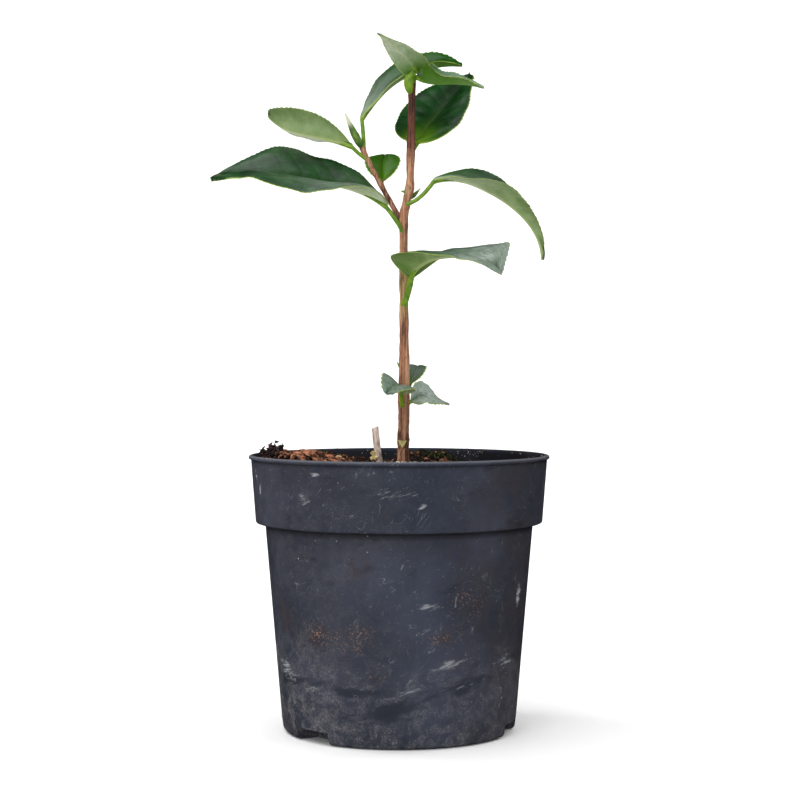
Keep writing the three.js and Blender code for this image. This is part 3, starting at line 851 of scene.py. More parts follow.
@dataclass(frozen=True)
class Bark:
    """Young bark: grey-brown and cracked below, tan in the middle and red-brown above."""

    low: Colour = paint(152, 101, 76)
    middle: Colour = paint(164, 112, 82)
    high: Colour = paint(102, 56, 40)
    crack: Colour = paint(34, 20, 18)
    wood: Colour = paint(192, 190, 118)
    green: Colour = paint(134, 144, 60)
    pale: Colour = paint(202, 162, 128)
    fleck: Colour = paint(88, 48, 34)

    def material(self) -> Material:
        """Colours by height from the piece's values, fine lengthwise streaks and darker cracks."""
        mix = Recipe("bark", 0.72, 0.35)
        streak = mix.speckle(0.0012, 5, mix.place((1, 1, 0.05)), grain=0.65)
        patch = mix.speckle(0.009, 4, mix.place((1, 1, 0.4)), grain=0.6)
        mix.colour = mix.blend(mix.value("low"), self.middle, self.low)
        green = mix.spot((0.003, 0, 0.251), (0.03, 0.03, 0.022), 0, 0.6)
        mix.lay(mix.times(green, 0.5), self.green)
        mix.lay(mix.value("high"), self.high)
        dull = mix.spread(streak, 0.38, 0.53, 0.85, 0)
        mix.lay(dull, self.crack)
        light = mix.speckle(0.0011, 4, mix.place((1, 1, 0.03)), grain=0.6)
        thread = mix.spread(light, 0.52, 0.6, 0, 0.62)
        pale = mix.sum_of("ADD", mix.spread(patch, 0.5, 0.74, 0, 0.3), thread)
        young = mix.sum_of("SUBTRACT", 1.0, mix.value("high"))
        mix.lay(mix.times(pale, young), self.pale)
        fleck = mix.spread(mix.speckle(0.0028, 4, mix.place((1, 1, 0.5)), grain=0.8), 0.56, 0.64)
        mix.lay(mix.times(fleck, 0.45), self.fleck)
        mix.lay(mix.value("crack"), self.crack)
        mix.lay(mix.value("wound"), self.wood)
        mix.relief(streak, 0.00022)
        mix.relief(patch, 0.0003, 0.5)
        return mix.finish()


@dataclass(frozen=True)
class DeadWood:
    """Weathered wood of the cut stub."""

    grey: Colour = paint(188, 164, 150)
    pale: Colour = paint(244, 224, 210)
    dark: Colour = paint(66, 52, 48)

    def material(self) -> Material:
        """Grey fibres along the stub, darker where the piece says so."""
        mix = Recipe("dead wood", 0.88, 0.25)
        fibre = mix.speckle(0.0009, 5, mix.place((1, 1, 0.1)), grain=0.7)
        mix.colour = mix.blend(mix.spread(fibre, 0.3, 0.66), self.grey, self.pale)
        mix.lay(mix.value("dark"), self.dark)
        mix.relief(fibre, 0.0003)
        return mix.finish()


@dataclass(frozen=True)
class LeafSkin:
    """What both sides of a leaf share: veins, midrib, young stretches, painted shade lit through the leaf,
    painted sheen and rim.
    """

    name: str = "leaf top"
    shine: tuple[float, float] = (0.34, 0.32)
    deep: Colour = paint(4, 42, 10)
    fresh: Colour = paint(14, 70, 18)
    young: Colour = paint(92, 136, 8)
    vein: Colour = paint(70, 104, 50)
    # painted shade with light shining through the leaf: a dark saturated green
    lush: Colour = paint(26, 86, 2)
    # painted sheen: a pale grey-green laid over the leaf
    bloom: Colour = paint(176, 188, 178)
    rim: Colour = paint(150, 176, 62)
    cloud: float = 0.011
    vein_line: tuple[float, float] = (0.1, 0.16)
    rib_line: Colour = (0.8, 0.3, 0.6)
    rim_line: tuple[float, float] = (0.85, 0.72)

    def started(self) -> Recipe:
        """The clouded green under everything else."""
        mix = Recipe(self.name, *self.shine)
        cloud = mix.speckle(self.cloud, 4, grain=0.6)
        mix.colour = mix.blend(mix.spread(cloud, 0.32, 0.7), self.deep, self.fresh)
        return mix

    def lay_marks(self, mix: Recipe, sheen_share: Source) -> None:
        """Lays on all that follows the leaf's own values, each by its share.

        Args:
            mix: the material being made.
            sheen_share: share of the painted sheen.
        """
        wave = mix.sum_of("ABSOLUTE", mix.sum_of("SINE", mix.value("vein")))
        width, share = self.vein_line
        mix.lay(mix.spread(wave, width, 0, 0, share), self.vein)
        near, far, most = self.rib_line
        mix.lay(mix.spread(mix.value("rib"), near, far, 0, most), self.vein)
        mix.lay(mix.value("youth"), self.young)
        # painted shade with light shining through the leaf
        mix.lay(mix.value("lush"), self.lush)
        # painted sheen
        mix.lay(sheen_share, self.bloom)
        width, share = self.rim_line
        mix.lay(mix.spread(mix.value("edge"), width, 0.1, 0, share), self.rim)

    def sheen_share(self, mix: Recipe) -> Socket:
        """How much greyish painted sheen shows: in streaks across the veins' fields."""
        streak = mix.speckle(0.03, 6, mix.surface_place((0.35, 0.5, 1)), grain=0.75, warp=0.5)
        cloud = mix.speckle(0.006, 4, grain=0.7)
        streaks = mix.spread(streak, 0.38, 0.66, 0, 0.5)
        sheen_pattern = mix.sum_of("ADD", streaks, mix.spread(cloud, 0.3, 0.7, 0, 0.3))
        return mix.times(mix.value("bloom"), mix.sum_of("ADD", sheen_pattern, 0.3))


class LeafTop(LeafSkin):
    """The waxy upper side of a leaf."""

    def material(self) -> Material:
        """Dark green between paler veins, yellow-green where young, under a glossy skin."""
        mix = self.started()
        fine = mix.speckle(0.0013, 3)
        mix.lay(mix.spread(fine, 0.45, 0.75, 0, 0.1), self.vein)
        # the leaf's marks, with streaks of painted sheen
        self.lay_marks(mix, self.sheen_share(mix))
        mix.relief(fine, 0.00006)
        mix.relief(mix.speckle(0.0045, 2), 0.00022)
        mix.feed(mix.shader.inputs["Coat Weight"], 0.1)
        mix.feed(mix.shader.inputs["Coat Roughness"], 0.26)
        return mix.finish(mix.spread(mix.speckle(0.008, 3), 0.3, 0.7, 0.3, 0.46))


@dataclass(frozen=True)
class LeafUnderside(LeafSkin):
    """The matt under side of a leaf."""

    name: str = "leaf underside"
    shine: tuple[float, float] = (0.52, 0.4)
    deep: Colour = paint(100, 126, 70)
    fresh: Colour = paint(134, 156, 102)
    young: Colour = paint(132, 158, 54)
    vein: Colour = paint(160, 170, 112)
    # painted shade with light shining through the leaf
    lush: Colour = paint(66, 112, 8)
    # painted sheen on the under side
    bloom: Colour = paint(204, 209, 192)
    rim: Colour = paint(150, 172, 84)
    dot: Colour = paint(78, 98, 44)
    cloud: float = 0.012
    vein_line: tuple[float, float] = (0.13, 0.3)
    rib_line: Colour = (1.1, 0.5, 0.8)
    rim_line: tuple[float, float] = (0.7, 0.6)

    def material(self) -> Material:
        """Sage green with paler veins and a fine dotted grain."""
        mix = self.started()
        dots = mix.cells(0.0008)
        mix.lay(mix.spread(dots, 0.2, 0.6, 0, 0.18), self.dot)
        # the leaf's marks, with painted sheen cut down by the leaf's share for the under side
        self.lay_marks(mix, mix.times(self.sheen_share(mix), mix.value("under")))
        mix.relief(dots, 0.00005)
        mix.relief(mix.speckle(0.003, 2), 0.00015)
        return mix.finish()


@dataclass(frozen=True)
class LeafMargin:
    """The pale cut edge of a leaf."""

    pale: Colour = paint(156, 178, 74)
    dull: Colour = paint(112, 126, 52)

    def material(self) -> Material:
        """Yellow-green with brownish stretches."""
        mix = Recipe("leaf margin", 0.5, 0.4)
        cloud = mix.speckle(0.004, 3)
        mix.colour = mix.blend(mix.spread(cloud, 0.4, 0.65), self.pale, self.dull)
        return mix.finish()


@dataclass(frozen=True)
class LeafStalk:
    """The stalk of a leaf."""

    bright: Colour = paint(122, 156, 30)
    green: Colour = paint(78, 120, 24)
    brown: Colour = paint(88, 66, 30)

    def material(self) -> Material:
        """Bright yellow-green, streaked along, with a soft gloss."""
        mix = Recipe("leaf stalk", 0.42, 0.45)
        streak = mix.speckle(0.0035, 4, grain=0.6)
        mix.colour = mix.blend(mix.spread(streak, 0.34, 0.68), self.bright, self.green)
        freckle = mix.cells(0.0021)
        mix.lay(mix.spread(freckle, 0.22, 0.1, 0, 0.4), self.brown)
        mix.relief(mix.speckle(0.0012, 3), 0.0001)
        return mix.finish()


@dataclass(frozen=True)
class BudScale:
    """The overlapping scales of a bud."""

    green: Colour = paint(44, 86, 14)
    light: Colour = paint(92, 128, 40)
    cream: Colour = paint(206, 208, 176)
    brown: Colour = paint(122, 88, 50)

    def material(self) -> Material:
        """Green scales with cream tips and thin brownish rims."""
        mix = Recipe("bud scale", 0.45, 0.45)
        cloud = mix.speckle(0.003, 3)
        mix.colour = mix.blend(mix.spread(cloud, 0.35, 0.7), self.green, self.light)
        mix.lay(mix.value("rim"), self.brown)
        mix.lay(mix.value("tip"), self.cream)
        mix.relief(mix.speckle(0.0007, 3), 0.00008)
        return mix.finish()


@dataclass(frozen=True)
class PaleFloor:
    """The studio floor."""

    pale: Colour = (0.95, 0.95, 0.95)
    shaded: Colour = (0.92, 0.92, 0.92)

    def material(self) -> Material:
        """Plain and pale, with the faintest unevenness."""
        mix = Recipe("studio floor", 0.9, 0.2)
        cloud = mix.speckle(0.6, 2)
        mix.colour = mix.blend(mix.spread(cloud, 0.3, 0.7, 0, 0.04), self.pale, self.shaded)
        return mix.finish()


def dress(thing: bpy.types.Object, slot: str, *nodes: str) -> bpy.types.Object:
    """Makes a piece ride on the plant, logs its slot and hides the solids it stands for.

    Args:
        thing: the piece.
        slot: the record's material slot, which is only logged.
        nodes: solids that the piece replaces.

    Returns:
        The same piece.
    """
    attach(thing, BODY)
    if nodes:
        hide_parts(*nodes)
    mesh = thing.data
    mesh.calc_loop_triangles()
    LOG.info("%s: %d triangles, slot %s", thing.name, len(mesh.loop_triangles), slot)
    return thing


# ------------------------------------------------------------------------------------------- pot
@dataclass
class Pot:
    """The moulded pot: rounded foot, tapered wall, stepped collar and a small out-turned lip."""

    height: float = 156.5
    wall: float = 1.6
    foot_radius: float = 66.4
    corner: float = 3
    shoulder_radius: float = 76.5
    collar_bottom: float = 118
    collar_low_radius: float = 81.8
    collar_top_radius: float = 84.7
    lip_radius: float = 85.9
    lip_height: float = 2.3
    base_thickness: float = 9
    notch_headings: tuple[float, float, float] = (-137, -16, 103)
    notch_half_width: float = 11.5
    notch_height: float = 7
    notch_radius: float = 53
    clear_of_notch: float = 0.3
    groove_height: float = 153.7
    columns: int = 320

    def wall_radius(self, height: Array | float) -> Array | float:
        """The wall's radius, which grows evenly from the foot to the shoulder."""
        return self.foot_radius + (self.shoulder_radius - self.foot_radius) * height / self.collar_bottom

    def collar_radius(self, height: Array | float) -> Array | float:
        """The collar's radius, which grows evenly from its bottom to the lip."""
        top = self.height - self.lip_height
        share = (height - self.collar_bottom) / (top - self.collar_bottom)
        return self.collar_low_radius + (self.collar_top_radius - self.collar_low_radius) * share

    def rounded(self, corners: list[tuple[float, float, float, int]], gap: float = 1.7) -> Array:
        """A profile through corners whose turns are rounded.

        Each turn is the parabola between the two points that lie its radius before and after the
        corner, and each straight is filled with points no further apart than the gap.

        Args:
            corners: radius, height, rounding and points on the turn, for each corner.
            gap: greatest distance between points on the straights.

        Returns:
            The profile's points.
        """
        places = np.array([corner[:2] for corner in corners], dtype=float)
        found = [places[0]]
        for index in range(1, len(corners) - 1):
            size, count = corners[index][2], corners[index][3]
            before = unit(places[index - 1] - places[index]) * size + places[index]
            after = unit(places[index + 1] - places[index]) * size + places[index]
            share = np.linspace(0, 1, count)[:, None]
            turn = (1 - share) ** 2 * before + 2 * share * (1 - share) * places[index] + share**2 * after
            found.extend(self.straight(found[-1], turn[0], gap))
            found.extend(turn)
        found.extend(self.straight(found[-1], places[-1], gap))
        found.append(places[-1])
        return np.array(found)

    def straight(self, start: Array, end: Array, gap: float) -> list[Array]:
        """The points strictly between two places, no further apart than the gap."""
        count = max(int(np.ceil(np.linalg.norm(end - start) / gap)), 1)
        return list(start + (end - start) * np.arange(1, count)[:, None] / count)

    def profiles(self) -> tuple[Array, Array]:
        """The section of the pot beside a notch and inside one, point for point.

        Returns:
            The two profiles as (radius, height) points from the middle of the underside to the
            middle of the inside.
        """
        step = self.collar_bottom
        top = self.height
        lip_foot = top - self.lip_height
        upper = self.rounded(
            [
                (self.wall_radius(self.notch_height), self.notch_height, 0, 0),
                (self.shoulder_radius, step, 1.1, 5),
                (self.collar_low_radius, step, 1.2, 6),
                (self.collar_radius(lip_foot - 0.6) - 0.15, lip_foot - 0.3, 0.5, 4),
                (self.lip_radius, lip_foot + 0.4, 0.4, 5),
                (self.lip_radius - 0.2, top - 0.5, 0.5, 5),
                (self.collar_top_radius - 0.4, top, 0.6, 5),
                (self.collar_top_radius - 1.6, top - 0.2, 0.5, 5),
                (self.collar_radius(step + self.wall) - self.wall, step + self.wall, 1, 4),
                (self.wall_radius(step) - self.wall, step + self.wall, 1, 4),
                (self.wall_radius(self.base_thickness) - self.wall, self.base_thickness, 1.5, 4),
                (0.05, self.base_thickness, 0, 0),
            ]
        )
        low = np.stack([np.linspace(0.05, self.notch_radius, 16), np.zeros(16)], -1)
        count = 22
        share = np.linspace(0, 1, count)
        angle = np.linspace(0, np.pi / 2, 8)
        flat = self.foot_radius - self.corner
        corner_points = np.stack(
            [flat + self.corner * np.sin(angle), self.corner * (1 - np.cos(angle))], -1
        )
        foot = np.concatenate([[[self.notch_radius, 0]], corner_points, [upper[0]]])
        notched = np.array(
            [[self.notch_radius, 0], [self.notch_radius, self.notch_height], list(upper[0])]
        )
        paths = []
        for path in (foot, notched):
            lengths = np.concatenate([[0], np.cumsum(np.linalg.norm(np.diff(path, axis=0), axis=1))])
            wanted = share * lengths[-1]
            paths.append(np.stack([np.interp(wanted, lengths, path[:, axis]) for axis in (0, 1)], -1))
        paths[1][7] = [self.notch_radius, self.notch_height]
        plain = np.concatenate([low[:-1], paths[0], upper[1:]])
        cut = np.concatenate([low[:-1], paths[1], upper[1:]])
        return plain, cut

    def from_notch(self, headings: Array) -> Array:
        """Signed angles from the nearest notch's middle, in degrees."""
        away = (headings[:, None] - self.notch_headings + 180) % 360 - 180
        return away[np.arange(len(away)), np.argmin(np.abs(away), axis=1)]

    def headings(self) -> tuple[Array, Array]:
        """Directions of the grid's columns, doubled at the notches' sides, and which lie in a notch."""
        half = self.notch_half_width
        even = np.linspace(0, 360, self.columns, endpoint=False)
        even = even[np.abs(np.abs(self.from_notch(even)) - half) >= self.clear_of_notch]
        edges = np.add.outer(self.notch_headings, (-half, half)).ravel() % 360
        found = np.concatenate([even, np.repeat(edges, 2)])
        inside = np.concatenate([np.abs(self.from_notch(even)) < half, np.arange(2 * len(edges)) % 2])
        order = np.lexsort((np.where(self.from_notch(found) < 0, inside, 1 - inside), found))
        return found[order], inside[order]

    def surface(self) -> Surface:
        """The pot's skin: each column is the profile turned to its heading about Z.

        Returns:
            The closed skin, with values for dust, stains, flecks, a painted highlight on the lip and
            painted shade under the collar step, in the groove under the lip and on the inner wall.
        """
        plain, cut = self.profiles()
        heading, inside = self.headings()
        section = np.where(inside[:, None, None] == 1, cut[None], plain[None]).transpose(1, 0, 2)
        angle = np.radians(heading)
        sag = 0.12 * np.sin(3 * angle + 1) * np.clip((section[..., 1] - 20) / 130, 0, 1)
        radius = section[..., 0] + np.where(section[..., 0] > 60, sag - 0.12, 0)
        points = np.stack([radius * np.cos(angle), radius * np.sin(angle), section[..., 1]], -1)
        height = points[..., 2]
        outer = np.arange(len(plain))[:, None] < np.argmax(plain[:, 1])
        left = eased(-points[..., 0], -40, 70)
        broken = rough(points, 30, 3) * 0.5 + 0.5
        low = np.maximum(0.9 * eased(-height, -26, -6), 0.6 * eased(-height, -58, -24))
        side = eased(-points[..., 0], 25, 60)
        band = side * eased(-height, -70, -52) * eased(height, 22, 40)
        dust = 0.06 + low * (0.35 + 0.65 * broken) + 0.12 * left + 0.5 * band * broken
        dust = np.clip(dust + 0.5 * side * eased(-height, -30, -20), 0, 1)
        step = self.collar_bottom
        # painted shade: a dark line under the collar step, a dark line in the groove under the lip and a
        # blotchy darkened inner wall
        under = eased(-height, -step - 0.3, 0.4 - step) * eased(height, step - 4.4, step - 1.4)
        groove = np.exp(-(((height - self.groove_height) / 0.35) ** 2)) * 0.75
        inner_wall_shade = 0.7 * eased(-height, -155.6, -154) * eased(broken, 0.15, 0.6)
        shade = np.where(outer, np.maximum(0.75 * under, groove), inner_wall_shade)
        stain = np.clip(0.7 * eased(points[..., 0], 10, 62) + 0.4 * left, 0, 1)
        stain = np.maximum(stain, 0.45 * eased(-height, -step - 0.5, 1 - step) * eased(height, 98, 117))
        # painted highlight: the top of the lip made lighter
        rim = np.clip(eased(height, 155, 156.2) * 0.8, 0, 1) * outer
        values = {
            "dust": dust * outer,
            "stain": stain * (0.5 + 0.5 * broken),
            "fleck": 0.2 + 0.6 * broken * outer,
            "lip": rim,
            "shade": shade,
        }
        return ring_surface(points * MM, values)

    def grit(self) -> Surface:
        """Whitish grains splashed on the rim and the inner wall.

        Returns:
            The joined grains.
        """
        draw = np.random.default_rng(41)
        count = 190
        heading = np.radians(draw.uniform(-180, 180, count))
        heading[:26] = np.radians(draw.normal(-88, 3.2, 26))
        heading[26:38] = np.radians(draw.normal(-148, 2, 12))
        heading[38:90] = np.radians(draw.normal(58, 3.5, 52))
        size = draw.uniform(0.25, 1.0, count) ** 1.3
        size[:26] = size[:26] + 0.35
        on_rim = np.arange(count) % 4 == 0
        on_rim[:38] = True
        on_rim[38:90] = False
        radius = np.where(on_rim, draw.uniform(83.8, 85, count), 82.8)
        rise = np.where(on_rim, 156.4, draw.uniform(150.5, 155.4, count))
        centres = np.stack([radius * np.cos(heading), radius * np.sin(heading), rise], -1)
        sizes = size[:, None] * draw.uniform(0.6, 1, (count, 3)) * (1, 1, 0.7)
        turns = turn_matrices(heading, np.zeros(count), np.zeros(count))
        return scattered_blobs(
            centres * MM, sizes * MM, turns, 3, 7, 0.3, 0.8, 19, draw.uniform(0, 1, count)
        )

    def build(self) -> None:
        """Makes the pot."""
        piece = self.surface().piece("nursery_pot", [PotPlastic().material()], 34)
        dress(piece, "pot", "pot")
        dress(self.grit().piece("grit", [Litter.GRIT.material()], 50), "pot", "pot")


# ------------------------------------------------------------------------------------ the filling
@dataclass
class Filling:
    """The compost with its bark chips, crumbs, moss and dry shoots."""

    level: float = 147.4
    bank_rise: float = 4.5
    back_rise: float = 5.5
    right_drop: float = 2.5
    flat_centre: tuple[float, float] = (-4.5, -6)
    flat_radius: float = 22
    rooted: float = 0.2
    stem_foot: tuple[float, float] = (2.3, 0)
    stub_foot: tuple[float, float] = (-10.8, -12)
    reach: float = 82.2
    foot_reach: float = 80.1
    foot: float = 120.6
    rings: int = 120
    columns: int = 240

    def height(self, x: Array, y: Array) -> Array:
        """The compost's height: level round the stem, banked up to the left and the back.

        Args:
            x: places from left to right in millimetres.
            y: places from front to back.

        Returns:
            Heights in millimetres.
        """
        back = self.back_rise * eased(y, 25, 70) * eased(50 - x, 8, 26) * eased(x, -8, 6)
        bank = np.maximum(self.bank_rise * eased(-x, 5, 50), back)
        drop = self.right_drop * eased(x, 20, 70)
        ripple = 0.7 * np.sin(x / 7 + 1) * np.cos(y / 9)
        far = np.hypot(x - self.flat_centre[0], y - self.flat_centre[1])
        return self.level + eased(far, self.flat_radius, 2 * self.flat_radius) * (bank - drop + ripple)

    def lying(self, x: Array, y: Array, rise: Array | float) -> Array:
        """Places that stand a rise above the compost."""
        return np.stack([x, y, self.height(x, y) + rise], -1)

    def from_feet(self, x: Array, y: Array) -> tuple[Array, Array]:
        """Distances from the feet of the stem and of the stub."""
        (stem_x, stem_y), (stub_x, stub_y) = self.stem_foot, self.stub_foot
        return np.hypot(x - stem_x, y - stem_y), np.hypot(x - stub_x, y - stub_y)

    def ground(self) -> Surface:
        """A disc of compost: rings from its foot out along the wall and in over the top.

        Returns:
            The closed skin.
        """
        angle = np.arange(self.columns) * 2 * np.pi / self.columns
        radius = self.reach * np.linspace(1, 0.004, self.rings)[:, None]
        x, y = radius * np.cos(angle), radius * np.sin(angle)
        spot = np.stack([x, y, np.zeros_like(x)], -1)
        lumps = 1.5 * rough(spot, 9, 5, 4) + 0.7 * rough(spot, 2.4, 6, 2)
        to_stem, to_stub = self.from_feet(x, y)
        top = self.lying(x, y, lumps * eased(to_stem, 3, 7) * eased(to_stub, 2, 5))
        side = self.foot_reach * np.cos(angle), self.foot_reach * np.sin(angle)
        bottom = np.stack([*side, np.full_like(angle, self.foot)], -1)
        return ring_surface(np.concatenate([bottom[None], top]) * MM)

    def strewn(
        self, draw: np.random.Generator, count: int, reach: float, lean: float
    ) -> tuple[Array, Array]:
        """Places over the top, clear of the stem and the stub, more of them on the left bank.

        Args:
            draw: source of chance.
            count: number of places tried.
            reach: largest distance from the axis.
            lean: share of the places kept off the left bank.

        Returns:
            The places from left to right and from front to back.
        """
        radius = reach * np.sqrt(draw.uniform(0, 1, count))
        heading = draw.uniform(0, 2 * np.pi, count)
        x, y = radius * np.cos(heading), radius * np.sin(heading)
        keep = draw.uniform(0, 1, count) < lean + (1 - lean) * eased(-x, 22, 40)
        to_stem, to_stub = self.from_feet(x, y)
        keep &= (to_stem > 7) & (to_stub > 5)
        return x[keep], y[keep]

    def chips(self) -> Surface:
        """Rough chips in listed places and many small ones strewn about.

        Returns:
            The joined chips.
        """
        chosen = np.array(
            [
                # x, y, middle over the compost, length, breadth, height, turn, tilt, roll, tone
                (-62, -18, 3.4, 9, 6, 5.5, 14, 22, 6, 0.9),
                (-56, -26, 3, 8, 6, 5, -28, -25, 20, 0.62),
                (-52, -6, 4.2, 9, 7, 5.5, 40, 12, 16, 1),
                (-47, -20, 2.4, 7, 6, 5, 65, 18, -18, 0.75),
                (-57, 6, 5, 9, 6, 5, -48, -20, 24, 0.55),
                (-40, -29, 0.8, 8, 5.5, 3.5, -14, 25, 0, 0.8),
                (-38, -8, 0.8, 9, 6, 4, 24, -22, 14, 0.3),
                (-49, 16, 4, 9, 7, 5.5, 5, 8, -26, 0.85),
                (-66, 18, 3.6, 8, 6, 5, 66, -18, 8, 0.3),
                (-58, 34, 3, 9, 7, 6, 40, 12, -16, 0.6),
                (-20, 22, 1, 7, 5, 4, -45, 6, 14, 0.4),
                (6, 8, 2, 6, 5, 5, 20, -9, 5, 1),
                (-52, -46, 2.4, 9, 6, 5, -38, 19, 8, 0.8),
                (14, -58, 1.5, 9, 7, 4, 12, 14, 20, 0.95),
                (20, -66, 1.2, 8, 4, 3, -20, 4, 0, 0.8),
                (52, 20, 1.4, 9, 6, 4, 30, 8, 10, 0.5),
            ]
        )
        big = scattered_blobs(
            self.lying(*chosen[:, :3].T) * MM,
            chosen[:, 3:6] * (0.86, 0.86, 0.6) * MM,
            turn_matrices(*np.radians(chosen[:, 6:9]).T[[0, 2, 1]]),
            18, 28, 0.8, 0.7, 4, chosen[:, 9],
        )
        draw = np.random.default_rng(12)
        x, y = self.strewn(draw, 1500, 79.5, 0.22)
        count = len(x)
        length = draw.uniform(1.6, 5.4, count)
        sizes = np.stack(
            [length, length * draw.uniform(0.4, 0.8, count), length * draw.uniform(0.14, 0.42, count)],
            -1,
        )
        heap = draw.uniform(0, 1, count) * (4.5 * eased(-x, 42, 54) * eased(35 - y, 0, 20) + 0.6)
        centres = self.lying(x, y, sizes[:, 2] * 0.35 + 0.4 + heap)
        turns = turn_matrices(
            draw.uniform(0, 2 * np.pi, count), draw.normal(0, 0.9, count), draw.normal(0, 0.7, count)
        )
        tones = draw.uniform(0, 1, count) ** 2.2
        small = scattered_blobs(centres * MM, sizes * MM, turns, 5, 8, 0.55, 0.6, 8, tones)
        return Surface.joined([big, small])

    def flakes(self) -> Surface:
        """Thin curved flakes of bark that stand among the chips.

        Each is a bent plate: z = bend * x^2 over its length with ragged ends, turned into place.

        Returns:
            The joined flakes.
        """
        chosen = np.array(
            [
                # x, y, middle over the compost, length, breadth, bend, turn, tilt, roll, tone
                (-46, -34, 5.6, 15, 6, -1.9, 4, 14, 42, 0.85),
                (-33, -37, 4.2, 15, 6, -1.5, -6, 16, 38, 0.75),
                (-24, -30, 3.0, 9, 5, -0.8, 20, 40, -4, 0.7),
                (-55, -34, 5.4, 10, 6, -1.4, -20, 34, 26, 0.7),
                (-60, -2, 6, 11, 6, -1.6, 24, 30, 16, 0.6),
                (-40, -14, 3, 11, 6, -1.4, -30, 20, 20, 0.5),
                (-50, 22, 4.6, 13, 8, -1.6, 34, 26, -12, 0.6),
                (12, -52, 1.6, 9, 6, -1.2, -16, 24, 6, 0.9),
                (-62, 30, 3, 12, 7, -1.4, -50, 30, 0, 0.5),
                (28, 40, 2, 12, 7, -1.2, 60, 20, 6, 0.6),
            ]
        )
        rows, across = 26, 15
        along_x = np.linspace(-1, 1, rows)[:, None]
        along_y = np.linspace(1, -1, across)[None, :]
        shapes = []
        for number, (x, y, rise, length, breadth, bend, turn, tilt, roll, tone) in enumerate(chosen):
            taper = (1 - 0.55 * np.abs(along_x) ** 2.5) * (1 + 0.16 * np.sin(7 * along_x + number))
            flat_x = along_x * length / 2 * (1 - 0.12 * np.sin(5 * along_y + number))
            flat_y = along_y * breadth / 2 * taper
            plain = np.stack([flat_x + 40 * number, flat_y, np.zeros_like(flat_y)], -1)
            ridge = 0.75 * rough(plain * (0.4, 2.2, 1), 2.0, 70 + number, 3)
            arch = bend * (along_x**2 + 0.6 * along_y**2) + ridge
            half = 0.62 * (1 - 0.75 * np.maximum(np.abs(along_x), np.abs(along_y)) ** 4)
            matrix = turn_matrices(*np.radians([[turn], [tilt], [roll]]))[0]
            middle = self.lying(x, y, rise)
            faces = [
                np.stack([flat_x + 0 * flat_y, flat_y, arch + side * half], -1) @ matrix.T + middle
                for side in (1, -1)
            ]
            uv = np.stack(np.broadcast_arrays(along_x, along_y), -1)
            tones = {"tone": np.full((rows, across), tone)}
            shapes.append(sheet_surface(faces[0] * MM, faces[1] * MM, uv, tones))
        joined = Surface.joined(shapes)
        joined.quad_finish = np.zeros_like(joined.quad_finish)
        return joined

    def crumbs(self) -> Surface:
        """Fine crumbs over the whole top.

        Returns:
            The joined crumbs.
        """
        draw = np.random.default_rng(5)
        x, y = self.strewn(draw, 3000, 80.5, 0.85)
        count = len(x)
        size = draw.uniform(0.6, 2.6, count)
        sizes = size[:, None] * draw.uniform(0.5, 1, (count, 3))
        centres = self.lying(x, y, 0.5 + 0.4 * size)
        turns = turn_matrices(*draw.uniform(0, 2 * np.pi, (3, count)))
        return scattered_blobs(
            centres * MM, sizes * MM, turns, 2, 6, 0.3, 0.8, 9, draw.uniform(0, 1, count) ** 2
        )

    def moss(self) -> Surface:
        """Cushions of short green strands and knobs, thickest along the back and right.

        Returns:
            The joined moss.
        """
        draw = np.random.default_rng(21)
        beds = [
            (-77, -12, 3, 70), (-68, -16, 3, 60), (-48, 58, 5, 90), (16, 66, 7, 170), (29, 62, 6, 140),
            (38, 30, 12, 200), (45, -10, 12, 200), (38, -52, 9, 200), (56, -40, 9, 260), (24, -30, 9, 90),
        ]
        places = np.concatenate(
            [draw.normal(0, 1, (number, 2)) * spread / 1.6 + (x, y) for x, y, spread, number in beds]
        )
        places = places[np.hypot(*places.T) < 80]
        x, y = places.T
        feet = self.lying(x, y, self.rooted)
        sway = [draw.normal(0, 0.6, len(x)) for _ in range(2)]
        aims = unit(np.stack([*sway, np.ones(len(x))], -1))
        curls = draw.normal(0, 0.25, (len(x), 3))
        return scattered_strands(
            feet * MM, aims, draw.uniform(1, 3.2, len(x)) * MM, draw.uniform(0.3, 0.7, len(x)) * MM,
            curls, 4, 4, draw.uniform(0, 1, len(x)),
        )

    def dry_shoots(self) -> Surface:
        """A dead weed of dark curled shoots by the left wall, and a twig.

        Each shoot is a stem that carries small curled leaves, spread over its upper part.

        Returns:
            The joined shoots.
        """
        draw = np.random.default_rng(31)
        count, leaves = 46, 12
        x = draw.normal(-71.5, 3.6, count)
        y = draw.normal(-8, 7, count)
        keep = np.hypot(x, y) < 77
        x, y = x[keep], y[keep]
        count = len(x)
        feet = self.lying(x, y, self.rooted)
        lean = np.stack([draw.normal(0.12, 0.2, count), draw.normal(0, 0.25, count), np.ones(count)], -1)
        aims = unit(lean)
        lengths = draw.uniform(3.5, 10, count) * np.where(x < -68, 1, 0.7)
        bends = draw.normal(0, 0.16, (count, 3))
        stems = scattered_strands(
            feet * MM, aims, lengths * MM, draw.uniform(0.5, 0.8, count) * MM, bends, 7, 6,
            draw.uniform(0, 0.3, count),
        )
        share = draw.uniform(0.35, 1, (count, leaves, 1))
        ways = share * aims[:, None] + share**2 * bends[:, None]
        joints = feet[:, None] + lengths[:, None, None] * ways
        around = draw.uniform(0, 2 * np.pi, (count, leaves))
        sideways = np.stack([np.cos(around), np.sin(around), draw.uniform(-0.2, 0.9, around.shape)], -1)
        number = count * leaves
        small = scattered_strands(
            joints.reshape(-1, 3) * MM, unit(sideways).reshape(-1, 3),
            draw.uniform(1.2, 2.8, number) * MM, draw.uniform(0.5, 1.0, number) * MM,
            np.stack([np.zeros(number), np.zeros(number), draw.uniform(-0.8, 0.9, number)], -1), 6, 6,
            draw.uniform(0, 0.8, number) ** 3,
        )
